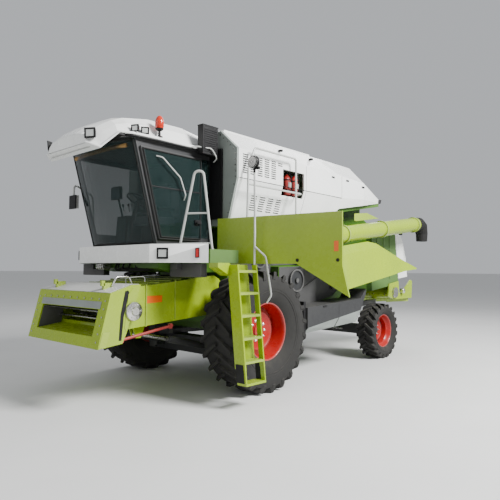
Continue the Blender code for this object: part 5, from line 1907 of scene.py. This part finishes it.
# %% Axle bolts, brake lines and steering cylinder
mesh, bolts = bmesh.new(), bmesh.new()
for side in (-1, 1):
    for k in range(8):
        hexagon(
            bolts,
            0.013,
            0.010,
            (side * 0.945, -0.1325 if k < 4 else 0.1305, 0.50 + (k % 4) * 0.14),
            (0, -1 if k < 4 else 1, 0),
        )
    pipe(
        mesh,
        rounded(
            [
                (side * 0.50, -0.145, 0.60), (side * 0.62, -0.165, 0.64), (side * 0.80, -0.165, 0.66),
                (side * 0.90, -0.150, 0.74),
            ],
            0.06,
        ),
        0.010,
        8,
    )
piece("axle_bolts", bolts, STEEL, bevel=0, slot="bright_steel")
piece("brake_lines", mesh, RUBBER, bevel=0, slot="rubber")
STEERING = (0, 3.81, 0.55)
mesh, rods = bmesh.new(), bmesh.new()
turned(
    mesh,
    [(-0.30, 0), (-0.30, 0.045), (-0.28, 0.048), (0.28, 0.048), (0.30, 0.045), (0.30, 0)],
    STEERING,
    (1, 0, 0),
    24,
    closed=False,
)
for x in (-0.20, 0.20):
    slab(mesh, (x - 0.02, 3.79, 0.52), (x + 0.02, 3.870, 0.58))
turned(rods, [(-0.52, 0), (-0.52, 0.018), (0.52, 0.018), (0.52, 0)], STEERING, (1, 0, 0), 16, closed=False)
piece("steering_cylinder", mesh, CHARCOAL, bevel=0.0)
piece("steering_rod", rods, STEEL, bevel=0, slot="bright_steel")
print("axles: sixteen bolts, two brake lines and the steering cylinder")

# %% [markdown]
# ## The floor and the light
# The floor is a plain pale surface, large enough that its edge is never seen. A soft key light stands on
# the machine's left and a weaker one fills the front. A third lifts the rear, and a pale world keeps the
# shadows open, so that every seam can be read.


# %% Floor and light
def floor_and_light():
    mesh = bpy.data.meshes.new("floor")
    reach = 400.0
    made = bmesh.new()
    corners = ((-reach, -reach), (reach, -reach), (reach, reach), (-reach, reach))
    made.faces.new([made.verts.new((x, y, 0.0)) for x, y in corners])
    made.to_mesh(mesh)
    made.free()
    floor = bpy.data.objects.new("floor", mesh)
    bpy.context.scene.collection.objects.link(floor)
    material = bpy.data.materials.new("pale floor")
    material.use_nodes = True
    tree = material.node_tree
    shader = tree.nodes["Principled BSDF"]
    where = tree.nodes.new("ShaderNodeTexCoord")
    tone = mixed(tree, noise(tree, where, 0.8, 6.0).outputs["Fac"], (0.60, 0.60, 0.59), (0.68, 0.68, 0.67))
    tree.links.new(tone, shader.inputs["Base Color"])
    shader.inputs["Roughness"].default_value = 0.75
    mesh.materials.append(material)
    floor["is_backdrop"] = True
    for name, at, size, power in (
        ("key", (11.0, 0.5, 10.5), 4.0, 5200.0),
        ("fill", (-2.0, -13.0, 7.0), 7.0, 260.0),
        ("back", (-6.0, 9.0, 9.0), 7.0, 500.0),
    ):
        data = bpy.data.lights.new(name, "AREA")
        data.size = size
        data.energy = power
        light = bpy.data.objects.new(name, data)
        bpy.context.scene.collection.objects.link(light)
        light.location = at
        light.rotation_euler = (Vector((0, 0, 1.6)) - Vector(at)).to_track_quat("-Z", "Y").to_euler()
        light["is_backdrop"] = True
    world = bpy.data.worlds.new("studio")
    world.use_nodes = True
    world.node_tree.nodes["Background"].inputs["Color"].default_value = (0.93, 0.96, 1.0, 1)
    world.node_tree.nodes["Background"].inputs["Strength"].default_value = 0.55
    bpy.context.scene.world = world


floor_and_light()
print("lights:", len(bpy.data.lights))

# %% [markdown]
# ## The camera
# The camera stands at the height of a person, off the machine's left front corner, and looks up a little.
# Its lens is near a normal one, so the front wheel looms but nothing bends.


# %% Camera
def camera():
    data = bpy.data.cameras.new("camera")
    data.lens = 36.5
    data.sensor_width = 36.0
    data.dof.use_dof = False
    obj = bpy.data.objects.new("camera", data)
    bpy.context.scene.collection.objects.link(obj)
    obj.location = AXLE + Vector((6.428, -5.766, 1.799))
    yaw, pitch, roll = math.radians(42.03), math.radians(2.26), math.radians(0.337)
    turn = Matrix.Rotation(yaw, 4, "Z") @ Matrix.Rotation(math.pi / 2 + pitch, 4, "X") @ Matrix.Rotation(
        roll, 4, "Z"
    )
    obj.rotation_euler = turn.to_euler()
    bpy.context.scene.camera = obj
    return obj


eye = camera()
print("camera at", tuple(round(v, 2) for v in eye.location))

# %% [markdown] ## Sizes and the end The box round the frame's solids and the box round everything are
# printed, so that anyone can see how little the look adds to the machine's size.

# %% Print the sizes and finish
full_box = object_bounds()
sizes = {"cad": [list(corner) for corner in cad_box], "all": [list(corner) for corner in full_box]}
print("size", sizes)
